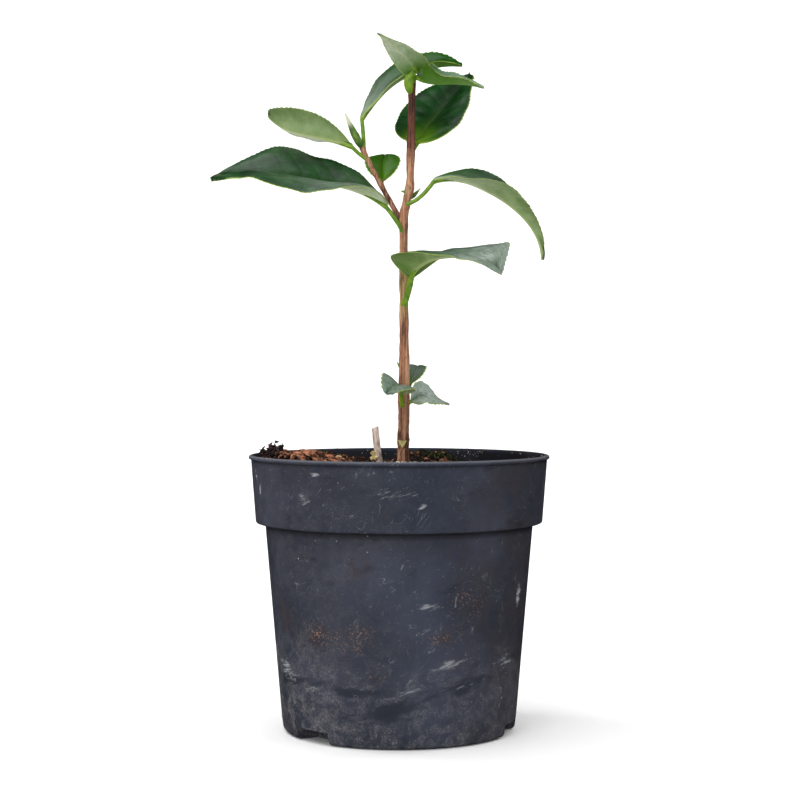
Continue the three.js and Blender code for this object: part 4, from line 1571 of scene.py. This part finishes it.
        foot = self.lying(np.array([-16.0]), np.array([-36.0]), 1.5)
        twig = scattered_strands(
            foot * MM, unit(np.array([[0.42, 0, 1.0]])), np.array([7.5]) * MM, np.array([0.8]) * MM,
            np.array([[0.3, 0, 0.1]]), 8, 8, np.array([0.75]),
        )
        return Surface.joined([stems, small, twig])

    def husks(self) -> Surface:
        """Pale yellow husks among the chips."""
        rows = np.array(
            [
                (-17, -36, 1.6, 3.2, 2, 2, -20, 12, 0),
                (-3.5, -22, 1.8, 2.6, 1.8, 1.8, 30, 0, 20),
                (34, 36, 1.2, 5, 2.4, 2, 60, 10, 0),
                (-36, 48, 1.2, 5, 2.4, 2, 20, 20, 0),
            ]
        )
        turns = turn_matrices(*np.radians(rows[:, 6:9]).T)
        middles = self.lying(*rows[:, :3].T)
        tones = np.ones(len(rows))
        return scattered_blobs(middles * MM, rows[:, 3:6] * MM, turns, 8, 14, 0.4, 0.85, 14, tones)

    def build(self) -> None:
        """Makes the compost and what lies on it."""
        dress(self.ground().piece("compost", [Compost().material()]), "soil", "soil")
        chip = Litter.CHIP.material()
        pieces = (
            ("bark_chips", self.chips, chip, 50),
            ("bark_flakes", self.flakes, chip, 50),
            ("husks", self.husks, Litter.HUSK.material(), 50),
            ("crumbs", self.crumbs, Litter.CRUMB.material(), 80),
            ("moss", self.moss, Litter.MOSS.material(), 80),
            ("dry_shoots", self.dry_shoots, Litter.DRY_SHOOT.material(), 80),
        )
        for name, shape, finish, crease in pieces:
            dress(shape().piece(name, [finish], crease), "soil")


# --------------------------------------------------------------------------------- stem and limbs
@dataclass
class MainStem:
    """The single upright stem, cracked at its foot and kinked above the fork."""

    line: tuple[tuple[float, float], ...] = (
        (140, 2.3), (156, 2.3), (210, 3), (284, 2.6), (299, 4.2), (309, 6.2), (325, 6.6), (369, 7.5)
    )
    foot: float = 147.2
    nodes: tuple[tuple[float, float, float], ...] = (
        (147, 0.8, 5), (165, 0.3, 4), (186, 0.3, 6), (287, 0.2, 4), (308, 0.35, 4), (327, 0.25, 6)
    )
    wound: tuple[float, float] = (160.4, 164.8)
    wound_half_width: float = 2.85
    rings: int = 800
    sides: int = 80

    def centres(self) -> Array:
        """Middle of the stem, even in length."""
        points = np.array([(x, 0, height) for height, x in self.line], dtype=float)
        path = smooth_path(points, self.rings * 2)
        path = path[path[:, 2] >= self.foot]
        pick = np.linspace(0, len(path) - 1, self.rings).astype(int)
        return path[pick]

    def radius(self, height: Array) -> Array:
        """Radius by height, with a swelling at each node."""
        slim = 3.4 + (2.35 - 3.4) * eased(height, self.foot, 287) - 0.2 * eased(height, 287, 369)
        swell = sum(extra * np.exp(-(((height - at) / length) ** 2)) for at, extra, length in self.nodes)
        return slim + swell

    def surface(self) -> Surface:
        """The bark: the plain radius plus lengthwise cracks that fade upwards, ridges and wrinkles.

        Returns:
            The closed skin, with values for height bands, cracks and the pruning wound.
        """
        centre = self.centres()
        height = centre[:, 2]
        base = self.radius(height)
        plain, out, angle = tube_rings(centre, base, self.sides)
        z = height[:, None] * np.ones(self.sides)
        below = eased(-z, -215, -150)
        long_place = plain * np.array([1, 1, 0.22])
        crack = np.clip(1 - np.abs(rough(long_place, 2.6, 3, 3)) * 4.5, 0, 1) ** 2 * below
        ridge = rough(long_place, 1.6, 7, 3)
        wrinkle = rough(plain * np.array([0.6, 0.6, 1]), 1.7, 9, 2)
        relief = -0.55 * crack + ridge * (0.1 + 0.32 * below) + wrinkle * (0.05 + 0.14 * below)
        relief += 0.3 * rough(plain, 7, 13, 2)
        seam = sum(np.exp(-(((z - at) / 0.5) ** 2)) for at, _, _ in self.nodes[1:]) * 0.22
        relief += seam * (0.6 + 0.4 * np.sin(3 * angle + z))
        front = plain[..., 1] < 0
        across = plain[..., 0] - 1.8
        low, high = self.wound
        half = self.wound_half_width * np.clip((z - low) / 4.2, 0, 1)
        wound = eased(half - np.abs(across), -0.25, 0.35) * eased(high - z, -0.2, 0.5) * front
        relief = relief * (1 - wound) - 0.35 * wound
        rings = plain + out * relief[..., None]
        grids = {
            "low": eased(-z, -222, -165) * (0.75 + 0.25 * ridge),
            "high": np.clip(eased(z, 314, 340) + 0.25 * wrinkle, 0, 1),
            "crack": np.clip(crack * 0.95 + 0.25 * seam, 0, 1) * (1 - wound),
            "wound": wound * (1 - 0.5 * eased(half - np.abs(across), 0.8, 1.3)),
        }
        return ring_surface(rings * MM, grids)

    def build(self) -> None:
        """Makes the stem."""
        dress(self.surface().piece("main_stem_bark", [Bark().material()], 60), "bark", "main_stem")


@dataclass
class SideShoot:
    """The side shoot that forks off to the left."""

    line: tuple[Colour, ...] = ((2.4, 0, 287), (-4, 0, 298.8), (-13.5, 0, 316), (-21.3, -0.4, 331.5))
    foot_radius: float = 1.6
    tip_radius: float = 1.3
    rings: int = 240
    sides: int = 48

    def build(self) -> None:
        """Makes the shoot: a tapering tube with wrinkled bark and a few swollen rings."""
        centre = smooth_path(np.array(self.line, dtype=float), self.rings)
        share = np.linspace(0, 1, self.rings)
        radius = self.foot_radius + (self.tip_radius - self.foot_radius) * share
        radius = radius + 0.9 * np.exp(-((share / 0.09) ** 2))
        radius = radius + 0.28 * np.exp(-(((share - 0.52) / 0.04) ** 2)) + 0.3 * eased(share, 0.86, 0.97)
        plain, out, _ = tube_rings(centre, radius, self.sides)
        ridge = rough(plain * np.array([0.7, 1, 0.5]), 1.3, 41, 3)
        wrinkle = rough(plain, 1.1, 43, 2)
        rings = plain + out * (0.16 * ridge + 0.08 * wrinkle)[..., None]
        grids = {
            "low": np.clip(0.35 + 0.5 * ridge, 0, 1),
            "high": 0.3 * eased(share, 0.6, 1)[:, None] * np.ones(self.sides),
            "crack": np.clip(-ridge * 1.2 - 0.2, 0, 0.6),
        }
        dress(ring_surface(rings * MM, grids).piece("side_shoot_bark", [Bark().material()], 60),
              "bark", "side_shoot")


@dataclass
class CutStub:
    """A dead stub, cut on a slant."""

    foot: Colour = (-10.8, -12, 147.2)
    top: Colour = (-13.7, -12, 172.6)
    radius: float = 2.1
    slope: float = 25
    hollow: tuple[tuple[float, float], ...] = ((0.35, 0.15), (0.8, 0.5))
    rings: int = 200
    sides: int = 56

    def build(self) -> None:
        """Makes the stub: a fibrous tube whose last rings are cut off by a slanted plane."""
        low, high = np.array(self.foot), np.array(self.top)
        share = np.linspace(0, 1, self.rings)[:, None]
        centre = low + (high + np.array([0, 0, 1.0]) - low) * share
        plain, out, _ = tube_rings(centre, np.full(self.rings, self.radius), self.sides)
        fibre = rough(plain * np.array([1, 1, 0.16]), 1.1, 51, 3)
        knob = rough(plain, 3.4, 53, 2)
        bark = (rough(plain * np.array([1, 1, 0.5]), 5, 55, 2) > 0.12) * eased(-plain[..., 2], -169, -158)
        rings = plain + out * (0.2 * fibre + 0.22 * knob + 0.3 * bark - 0.1)[..., None]
        cut = high[2] - 0.4 + (rings[..., 0] - high[0]) * math.tan(math.radians(self.slope))
        cut += 0.25 * rough(rings, 0.8, 57, 2)
        rings[..., 2] = np.minimum(rings[..., 2], cut)
        last = rings[-1]
        hollow = [last + (last.mean(0) - last) * share - (0, 0, drop) for share, drop in self.hollow]
        rings = np.concatenate([rings, hollow])
        dark = np.zeros(rings.shape[:2])
        shaded = 0.3 * eased(-plain[..., 0], 13, 15)
        dark[: self.rings] = np.clip(bark * 0.6 + 0.25 * (fibre < -0.3) + shaded, 0, 1)
        dark[-1] = 0.7
        dress(ring_surface(rings * MM, {"dark": dark}).piece("stub_wood", [DeadWood().material()], 50),
              "dead_wood", "cut_stub")
        self.torn_scales()

    def torn_scales(self) -> None:
        """Three pale, torn bud scales low on the stub's left."""
        rows = np.array(
            [
                (-14, -13.4, 157.6, 4.2, 1.3, 2.4, 20, 10, 34),
                (-14.4, -13, 155.4, 3.6, 1.2, 2.6, -20, -10, -30),
                (-12.6, -13.8, 155, 2.4, 1.2, 3, 10, 0, 70),
            ]
        )
        turns = turn_matrices(*np.radians(rows[:, 6:9]).T)
        scales = scattered_blobs(
            rows[:, :3] * MM, rows[:, 3:6] * MM, turns, 10, 16, 0.45, 0.8, 24, np.array([0.9, 0.7, 1])
        )
        dress(scales.piece("stub_scales", [Litter.HUSK.material()], 50), "dead_wood", "cut_stub")


@dataclass
class Bud:
    """A pointed bud of overlapping scales."""

    name: str
    foot: Colour
    tip: Colour
    radius: float
    scales: int
    cream: float = 0.0
    brown: float = 0.5

    def build(self, material: Material) -> None:
        """Makes the bud: a spindle whose skin steps up wherever a scale overlaps the one inside.

        Each scale covers the spindle round its own side from its foot up to an edge that runs
        to a point, and stands its thickness proud of the scales above it.

        Args:
            material: the buds' finish.
        """
        sides, rings = 64, 120
        start, end = np.array(self.foot, dtype=float), np.array(self.tip, dtype=float)
        share = np.linspace(0, 1, rings)
        centre = start + (end - start) * share[:, None]
        length = float(np.linalg.norm(end - start))
        centre = centre + np.array([0, 0, -0.03 * length]) * np.sin(np.pi * share)[:, None]
        angle = np.arange(sides) * 2 * np.pi / sides
        skin = self.radius * np.maximum(np.sin(np.pi * (0.1 + 0.88 * share**0.72)), 0.05) ** 0.9
        skin = skin[:, None] * np.ones(sides) * 0.86
        rim, tip = np.zeros_like(skin), np.zeros_like(skin)
        for index in range(self.scales):
            reach = 0.3 + 0.72 * (index + 1) / self.scales
            away = np.abs((angle - index * 2.4 + np.pi) % (2 * np.pi) - np.pi)
            edge = reach - 0.24 * (away / np.pi) ** 1.5 - share[:, None]
            cover = eased(edge, -0.006, 0.012)
            thick = 0.06 * self.radius * (1 - index / self.scales * 0.4) + 0.02
            skin = skin + cover * thick / (1 + 0.5 * index)
            rim = np.maximum(rim, np.exp(-((edge / 0.016) ** 2)) * self.brown)
            pale = self.cream * eased(share, 0.62, 0.85)[:, None]
            tip = np.maximum(tip, cover * eased(-edge, -0.12, 0) * pale)
        tip = np.maximum(tip, eased(share, 0.54, 0.76)[:, None] * self.cream * np.ones(sides))
        points, _, _ = tube_rings(centre, skin, sides, np.array([0.2, 1.0, 0.1]))
        surface = ring_surface(points * MM, {"rim": rim, "tip": np.clip(tip, 0, 1)})
        dress(surface.piece(self.name + "_scales", [material], 50), "bud", self.name)


# ----------------------------------------------------------------------------------------- leaves
Run = tuple[float, ...]


@dataclass
class Leaf:
    """One leaf: a folded, veined and toothed blade on a stalk that runs on as its midrib.

    The midrib starts at base and follows the heading and the rise. Left and right say how far
    each half of the blade is lifted from level. Widest is the place of the greatest width, round_base
    the fullness towards the stalk and taper that towards the tip.
    """

    name: str
    foot: Colour
    bend: Colour
    base: Colour
    stalk: float
    length: float
    width: float
    heading: Run
    rise: Run
    left: Run
    right: Run
    widest: float
    round_base: float
    taper: float
    wave: Run = (0, 0, 0)
    young: float = 0.35
    even_young: float = 0.0
    # painted sheen: its share along the leaf, the half it favours, its reach from the midrib and its share
    # on the under side
    bloom: Run = (0, 0, 0)
    sheen_side: Run = (0, 0)
    sheen_reach: float = 60
    under: float = 1.0
    # painted shade with light shining through the leaf, its share along the leaf
    lush: Run = (0, 0, 0)
    swell: float = 0.0
    bow: float = 0.05
    ripple: float = 0.3
    tooth_spacing: float = 2.7
    tooth_depth: float = 0.72
    tip_tooth_depth: float = 0.5
    margin_thickness: float = 0.22
    middle_thickness: float = 0.26
    seed: int = 1
    columns: int = 45

    def half_width(self, share: Array) -> Array:
        """Half the blade's width: a powered sine up to the widest place and a powered cosine after."""
        low = np.sin(np.pi / 2 * np.clip(share / self.widest, 0, 1)) ** self.round_base
        fall = np.clip((share - self.widest) / (1 - self.widest), 0, 1)
        high = np.maximum(np.cos(np.pi / 2 * fall), 0) ** self.taper
        return self.width / 2 * np.where(share < self.widest, low, high)

    def midrib(self, share: Array) -> tuple[Array, Array, Array, Array]:
        """The midrib and the directions ahead, across and up along it.

        Args:
            share: evenly growing shares of the blade's length.

        Returns:
            Points and three unit vectors for each share.
        """
        heading = np.radians(along(self.heading, share))
        rise = np.radians(along(self.rise, share))
        ahead = np.stack(
            [np.cos(rise) * np.cos(heading), np.cos(rise) * np.sin(heading), np.sin(rise)], -1
        )
        across = np.stack([np.sin(heading), -np.cos(heading), np.zeros_like(heading)], -1)
        steps = (ahead[1:] + ahead[:-1]) / 2 * np.diff(share)[:, None] * self.length
        points = np.array(self.base) + np.concatenate([np.zeros((1, 3)), np.cumsum(steps, axis=0)])
        return points, ahead, across, np.cross(across, ahead)

    def rows(self) -> tuple[Array, Array]:
        """Shares of the blade's length that are even along its margin, so that a blunt end stays fine.

        Returns:
            The shares and the length of the margin up to each.
        """
        fine = np.linspace(0, 1, 6000)
        steps = np.hypot(np.diff(fine) * self.length, np.diff(self.half_width(fine)))
        margin = np.concatenate([[0], np.cumsum(steps)])
        run = np.linspace(0, margin[-1], max(int(margin[-1] / 0.5), 40))
        return np.interp(run, margin, fine), run

    def blade(self) -> Surface:
        """The blade as two grids a leaf's thickness apart.

        A point is midrib + across * cos(lift) * u * w + up * (sin(lift) * |u| * w + relief), where
        the relief is the halves' bow, the sunken veins between raised fields and a wavy margin.

        Returns:
            The closed blade.
        """
        share, run = self.rows()
        middle, ahead, across, up = self.midrib(share)
        spread = np.linspace(-1, 1, self.columns)
        u = np.sign(spread) * np.abs(spread) ** 1.3
        side = np.abs(u)
        s = share[:, None]
        width = self.half_width(share)[:, None]
        step = np.hypot(np.gradient(s[:, 0] * self.length), np.gradient(width[:, 0]))[:, None] + 1e-9
        forward = np.clip(-np.gradient(width[:, 0])[:, None] / step, 0, 1)
        teeth = (run[:, None] / self.tooth_spacing + 0.3 * u) % 1.0 - 0.5
        toothed = eased(s, 0.12, 0.2) * eased(run[-1] - run, 1, 4)[:, None] * eased(side, 0.8, 1)
        tooth = toothed * (self.tooth_depth + self.tip_tooth_depth * forward) * teeth
        width = np.maximum(width, 0.12) + tooth * np.sqrt(1 - forward**2)
        wave = self.wave[0] * np.sin(2 * np.pi * (self.wave[1] * share + self.wave[2]))
        right = along(self.right, share) + wave * np.sin(np.pi * share)
        lift = np.radians(np.where(u < 0, along(self.left, share)[:, None], right[:, None]))
        outward = across[:, None] * np.sign(u)[:, None]
        level, raised = np.cos(lift)[..., None], np.sin(lift)[..., None]
        out = outward * level + up[:, None] * raised
        normal = up[:, None] * level - outward * raised
        distance = side * width
        near = np.exp(-((distance / 1.1) ** 2))[..., None]
        normal = unit(normal * (1 - near) + up[:, None] * near)
        pairs = 8 + self.length / 40
        phase = np.pi * pairs * (s - 0.2 * side**0.85 * (self.width / self.length) ** 0.5)
        between = np.abs(np.sin(phase)) ** 0.6 - 0.6
        inside = eased(distance, 0.4, 2.5) * eased(1 - side, 0.04, 0.3)
        plain = middle[:, None] + out * distance[..., None]
        plain = plain + ahead[:, None] * (tooth * forward)[..., None]
        relief = self.bow * self.width * 4 * side * (1 - side)
        relief = relief + 0.2 * between * inside
        relief = relief + 0.5 * rough(plain, 13, self.seed, 2) * eased(distance, 0.5, 4)
        edge_wave = np.sin(2 * np.pi * (s * self.length / 17 + self.seed * 0.37) + np.sign(u))
        relief = relief + self.ripple * edge_wave * side**3 * eased(s, 0.05, 0.25) * eased(1 - s, 0, 0.2)
        rib = np.maximum(self.stalk * (1 - s) ** 0.8, 0.16)
        groove = 0.28 * rib**0.5 * np.exp(-((distance / (0.55 * rib + 0.1)) ** 2))
        ridge = rib * 1.15 * np.exp(-((distance / (0.8 * rib + 0.15)) ** 2))
        thick = self.margin_thickness + self.middle_thickness * (1 - side**2)
        thick = thick * (0.4 + 0.6 * eased(1 - s, 0, 0.05))
        upper = plain + normal * (relief - groove + thick / 2)[..., None]
        lower = plain + normal * (relief - thick / 2 - ridge)[..., None]
        lower = lower - normal * (0.06 * np.exp(-((np.sin(phase) / 0.25) ** 2)) * inside)[..., None]
        uv = np.stack([s * np.ones(self.columns), np.broadcast_to(u, plain.shape[:2])], -1)
        fresh = self.young * np.exp(-((s / 0.16) ** 2)) * np.exp(-((distance / 9) ** 2))
        fresh = fresh + self.young * 0.4 * np.exp(-distance / 1.6) * (1 - s)
        favoured = np.interp(s, np.linspace(0, 1, len(self.sheen_side)), self.sheen_side)
        values = {
            "edge": (1 - side) * width + 2 * eased(s, 0.9, 0.97),
            "rib": distance / (0.35 + 0.65 * rib),
            "vein": phase * np.ones_like(side),
            "youth": np.clip(fresh + self.even_young * (1 - 0.5 * s), 0, 1),
            # painted sheen along the leaf, on the favoured half and near the midrib
            "bloom": np.clip(along(self.bloom, share), 0, 1)[:, None]
            * np.where(u * favoured < 0, 1 - np.minimum(np.abs(favoured), 1), 1.0)
            * np.exp(-((distance / self.sheen_reach) ** 2)),
            # painted shade with light shining through the leaf
            "lush": np.clip(along(self.lush, share), 0, 1)[:, None] * np.ones_like(side),
            # share of the painted sheen on the under side
            "under": self.under * np.ones_like(distance),
        }
        return sheet_surface(upper * MM, lower * MM, uv, values)

    def stem(self) -> Surface:
        """The stalk: a parabola from foot over bend to base that runs on under the midrib.

        Returns:
            The closed stalk.
        """
        free_count, under_count, under_reach = 60, 24, 0.14
        share = np.linspace(0, 1, free_count)[:, None]
        foot, bend, base = (np.array(place, dtype=float) for place in (self.foot, self.bend, self.base))
        free = (1 - share) ** 2 * foot + 2 * share * (1 - share) * bend + share**2 * base
        under, _, _, up = self.midrib(np.linspace(0, under_reach, under_count))
        under = under - up * (0.55 * self.stalk * np.linspace(0, 1, under_count)[:, None])
        centre = np.concatenate([free, under[1:]])
        radius = self.stalk * np.concatenate([np.ones(free_count), np.linspace(1, 0.5, under_count - 1)])
        free_share = share[:, 0]
        heel = np.where(self.swell > 0, -0.6, 0.3) * np.exp(-((free_share / 0.12) ** 2))
        middle = self.swell * np.exp(-(((free_share - 0.5) / 0.3) ** 2))
        fade = self.swell * np.exp(-((0.5 / 0.3) ** 2)) * np.linspace(1, 0, under_count - 1)
        swollen = np.concatenate([1 + heel + middle, 1 + fade])
        plain, out, _ = tube_rings(centre, radius * swollen, 28, self.stalk_side())
        rings = plain + out * (0.07 * rough(plain, 1.4, self.seed + 60, 2))[..., None]
        return ring_surface(rings * MM, None, 3)

    def stalk_side(self) -> Array:
        """A direction that the stalk never runs along: level, across its general way."""
        way = np.array(self.base, dtype=float) - np.array(self.foot, dtype=float)
        way = way + self.midrib(np.linspace(0, 0.14, 4))[1][-1] * 2
        level = np.cross(way, [0, 0, 1.0])
        return level / np.linalg.norm(level) if np.linalg.norm(level) > 0.1 else np.array([1.0, 0, 0])

    def build(self, finishes: list[Material]) -> None:
        """Makes the leaf.

        Args:
            finishes: the upper side, the under side, the margin and the stalk.
        """
        surface = Surface.joined([self.blade(), self.stem()])
        dress(surface.piece(self.name + "_blade", finishes, 50), "leaf", self.name)


@dataclass
class Foliage:
    """All the leaves and buds."""

    def leaves(self) -> list[Leaf]:
        """The leaves from the crown down.

        Where heading, rise, left and right have five values, they and the base, length, width and
        outline beside them were fitted outside this script and rounded. The rest was set one by one.
        """
        return [
            Leaf("leaf_crown_left", (6.9, -0.8, 361), (3.6, -5, 369), (8.8, -6.2, 374), 1.9,
                 47, 19, (-90, -115, -123, -124, -124), (25, 17, 17, 17, 14),
                 (1, 4, 6, 13, 15), (-36, -9, 1, 16, 26), 0.32, 0.2, 1.2, young=0.5,
                 bloom=(0, 0.5, 0.9, 1), lush=(1, 0.5, 0.1, 0),
                 sheen_side=(0.4, 0.4), swell=0.55, seed=2),
            Leaf("leaf_crown_right", (7.4, 0.4, 365), (8.6, -1, 369.5), (9.9, -2.6, 371.2), 1.1,
                 44.5, 23, (-45, -29, -29, -27, -23), (-33, -11, -4, -12, -20),
                 (83, 48, 43, 35, 23), (86, 52, 19, 23, 30), 0.14, 0.6, 0.77, young=0.45,
                 bloom=(0.15, 0.4, 0.6), under=0.1, lush=(1, 1, 0.7), seed=3),
            Leaf("leaf_back_right", (6.8, 0.4, 328), (8.4, 3, 330.4), (10.4, 6, 334.2), 1.2,
                 82, 45, (70, 62, 58, 56, 66), (39, 35, 33, 34, 44),
                 (9, 7, 18, 33, 44), (-4, 2, 16, 29, 33), 0.38, 0.45, 0.84, young=0.95,
                 bloom=(0, 0.08, 0.26), sheen_side=(-0.9, -0.9), sheen_reach=3.5, seed=4),
            Leaf("leaf_shoot_arch", (-19.9, 0.2, 328.2), (-20, 2.4, 338), (-21.2, 3.1, 347.7), 1.15,
                 73, 31, (26, 23, 20, 13, 13), (55, 46, 28, 13, -4),
                 (13, 21, 35, 57, 80), (11, 10, 9, 8, 6), 0.53, 0.82, 0.73,
                 bloom=(0.8, 0.22, 0, 0), lush=(0, 0.15, 0.6, 1), seed=5),
            Leaf("leaf_shoot_left", (-18.8, -0.2, 325), (-22.8, -1, 327.2), (-26.6, -1.7, 331.4), 1.1,
                 54, 28.6, (178, 177, 172, 160, 142), (21, 14, 12, 24, 42),
                 (74, 76, 75, 65, 48), (5, -4, -5, -9, -24), 0.6, 0.85, 0.28,
                 bloom=(0.8, 1, 1, 0.8), sheen_side=(1, 1), seed=6),
            Leaf("leaf_shoot_back", (-8.4, 0.4, 306.6), (-9.4, 3.4, 308.4), (-9.6, 4.4, 312), 0.9,
                 23, 21, (90, 85, 80), (72, 50, 15), (10, 10, 10), (10, 10, 10),
                 0.55, 0.8, 0.5, young=0.9, even_young=0.6, lush=(0.4, 0.4), seed=7),
            Leaf("leaf_left_long", (2.2, -0.8, 283.4), (-1, -3, 289.5), (-7.2, -3.1, 297.1), 1.25,
                 103.5, 48, (194, 187, 189, 171, 187), (39, 14, 9, 0, -20),
                 (30, -5, -25, -13, -26), (30, 53, 42, 45, 47), 0.56, 0.73, 1.1,
                 wave=(8, 1.3, 0.4), bloom=(1, 0.5, 0.32, 0.1, 0.08, 0.1),
                 sheen_side=(-1, -0.8, -0.95, -0.7, 0.85, 0.85), seed=8),
            Leaf("leaf_right_arch", (4.4, -1, 299), (12.2, -3, 300.8), (19.7, -5.1, 311.5), 1.2,
                 85, 30, (-4, -19, -12, -10, -2), (16, -20, -34, -54, -89),
                 (37, 42, 34, 33, 32), (4, 6, 37, 40, 61), 0.39, 0.73, 1.06,
                 bloom=(1, 0.45, 0.1, 0.02, 0), sheen_side=(1, 0.8, 0, 0, 0), seed=9),
            Leaf("leaf_middle_twist", (2.8, -0.8, 242), (5.4, -5, 247.6), (6.8, -8.1, 255.9), 1.7,
                 70.5, 43, (-79, -47, -15, -31, -54), (40, 21, 0, -19, -39),
                 (32, 13, 13, 35, 99), (45, 15, -2, -1, 21), 0.5, 0.34, 0.3,
                 bloom=(0, 0, 0.28, 0.75, 0.6), lush=(0.5, 0.2, 0, 0, 0), seed=10),
            Leaf("leaf_low_front", (2.6, -0.8, 182), (1.4, -5, 186), (1.2, -6.6, 192), 1.2,
                 26, 21, (-88, -112, -126), (38, -2, -46),
                 (-30, -10, -10), (20, 42, 56), 0.5, 0.5, 0.6, bloom=(0.5, 0.5, 0.5), seed=11),
            Leaf("leaf_low_back", (3, 0.6, 188), (5.2, 4.4, 190.4), (6.6, 7, 196.6), 0.9,
                 21, 16, (80, 75, 70), (65, 30, -10), (10, 10, 10), (5, 5, 5),
                 0.5, 0.7, 0.5, bloom=(0.3, 0.3, 0.3), seed=12),
            Leaf("leaf_low_right", (3, -0.2, 182), (5, -0.8, 184.8), (6.7, -1, 186.6), 1,
                 24, 19, (27, 18, 4, -5, -15), (31, 12, -14, -21, -24),
                 (125, 87, 38, 3, -16), (-38, -20, -22, -26, -33), 0.31, 0.52, 1.16,
                 bloom=(0.9, 1, 0.8), seed=13),
        ]

    def buds(self) -> list[Bud]:
        """The buds."""
        return [
            Bud("shoot_tip_bud", (-21.4, -1.2, 331.4), (-31, -2.2, 351.4), 2.15, 7, cream=0.9, brown=0.25),
            Bud("axil_bud_right", (6.6, 1, 302.4), (12.5, 1.8, 308.7), 1.1, 5, cream=0.3),
            Bud("axil_bud_left", (5.2, -0.6, 306), (0.8, -1.2, 306.6), 0.9, 4, brown=0.9),
            Bud("low_bud", (2.4, -0.4, 203.6), (-1.3, -0.6, 209.6), 0.9, 4, brown=0.8),
        ]

    def build(self) -> None:
        """Makes every leaf and bud."""
        finishes = [
            LeafTop().material(), LeafUnderside().material(), LeafMargin().material(),
            LeafStalk().material(),
        ]
        for leaf in self.leaves():
            leaf.build(finishes)
        scale = BudScale().material()
        for bud in self.buds():
            bud.build(scale)


# ----------------------------------------------------------------------------------------- studio
@dataclass
class Studio:
    """The pale floor, the soft lights and the camera."""

    eye: Colour = (0.0006, -1.1, 0.2097)
    tilt: float = 88.843
    lens: float = 86.7
    world: float = 0.4
    sweep_start: float = 1.3
    sweep_bend: float = 0.9

    def camera(self) -> None:
        """Looks at the plant from the front, a little above the rim."""
        data = bpy.data.cameras.new("front camera")
        data.lens = self.lens
        data.sensor_width = 36
        data.clip_end = 20
        thing = bpy.data.objects.new("front camera", data)
        thing.location = self.eye
        thing.rotation_euler = (math.radians(self.tilt), 0, 0)
        bpy.context.scene.collection.objects.link(thing)
        bpy.context.scene.camera = thing

    def lamp(
        self, name: str, place: Colour, aim: Colour, size: float, power: float, mirrored: bool = True
    ) -> None:
        """A soft square lamp.

        Args:
            name: the lamp's name.
            place: where it stands.
            aim: what it points at.
            size: length of its sides.
            power: power in watts.
            mirrored: whether glossy surfaces show it.
        """
        data = bpy.data.lights.new(name, "AREA")
        data.size = size
        data.energy = power
        thing = bpy.data.objects.new(name, data)
        thing.location = place
        away = np.array(place) - np.array(aim)
        flat = math.hypot(away[0], away[1])
        thing.rotation_euler = (math.atan2(flat, away[2]), 0, math.atan2(away[0], -away[1]))
        thing.visible_glossy = mirrored
        bpy.context.scene.collection.objects.link(thing)

    def floor(self) -> None:
        """A wide pale floor that turns up into a back wall through a quarter circle."""
        turn = np.linspace(0, np.pi / 2, 24)
        start, bend = self.sweep_start, self.sweep_bend
        y = np.concatenate([[-4, -2, 0], start + bend * np.sin(turn), [start + bend]])
        z = np.concatenate([[0, 0, 0], bend * (1 - np.cos(turn)), [4]]) - 0.0004
        x = np.linspace(-4, 4, 9)
        across, depth = np.meshgrid(x, y, indexing="xy")
        height = np.repeat(z[:, None], len(x), axis=1)
        top = np.stack([across, depth, height], -1)
        under = top + np.array([0, 0.02, -0.02])
        surface = sheet_surface(top, under, np.stack([across, depth], -1), {})
        piece = surface.piece("studio_floor", [PaleFloor().material()] * 3)
        piece.visible_glossy = False

    def build(self) -> None:
        """Sets up the camera, the lights and the floor."""
        self.camera()
        self.floor()
        world = bpy.data.worlds.new("soft surround")
        world.use_nodes = True
        background = next(node for node in world.node_tree.nodes if node.type == "BACKGROUND")
        background.inputs["Color"].default_value = (1, 1, 1, 1)
        background.inputs["Strength"].default_value = self.world
        world.cycles_visibility.glossy = False
        bpy.context.scene.world = world
        bpy.context.scene.view_settings.view_transform = "Standard"
        self.lamp("main lamp", (-0.6, -0.6, 1.75), (0, 0, 0.3), 2.0, 25)
        self.lamp("front lamp", (-0.75, -1.5, 0.4), (0, 0, 0.28), 0.7, 9)
        self.lamp("side lamp", (1.3, -0.6, 0.7), (0, 0, 0.25), 1.0, 4)
        self.lamp("wall lamp left", (-1.4, 0.7, 1.9), (-0.4, 2.2, 0.7), 1.2, 26, False)
        self.lamp("wall lamp right", (1.4, 0.7, 1.9), (0.4, 2.2, 0.7), 1.2, 26, False)


def main() -> None:
    """Builds the plant from the ground up."""
    logging.basicConfig(level=logging.INFO, format="%(name)s: %(message)s")
    Studio().build()
    Pot().build()
    Filling().build()
    MainStem().build()
    SideShoot().build()
    CutStub().build()
    Foliage().build()


if __name__ == "__main__":
    main()
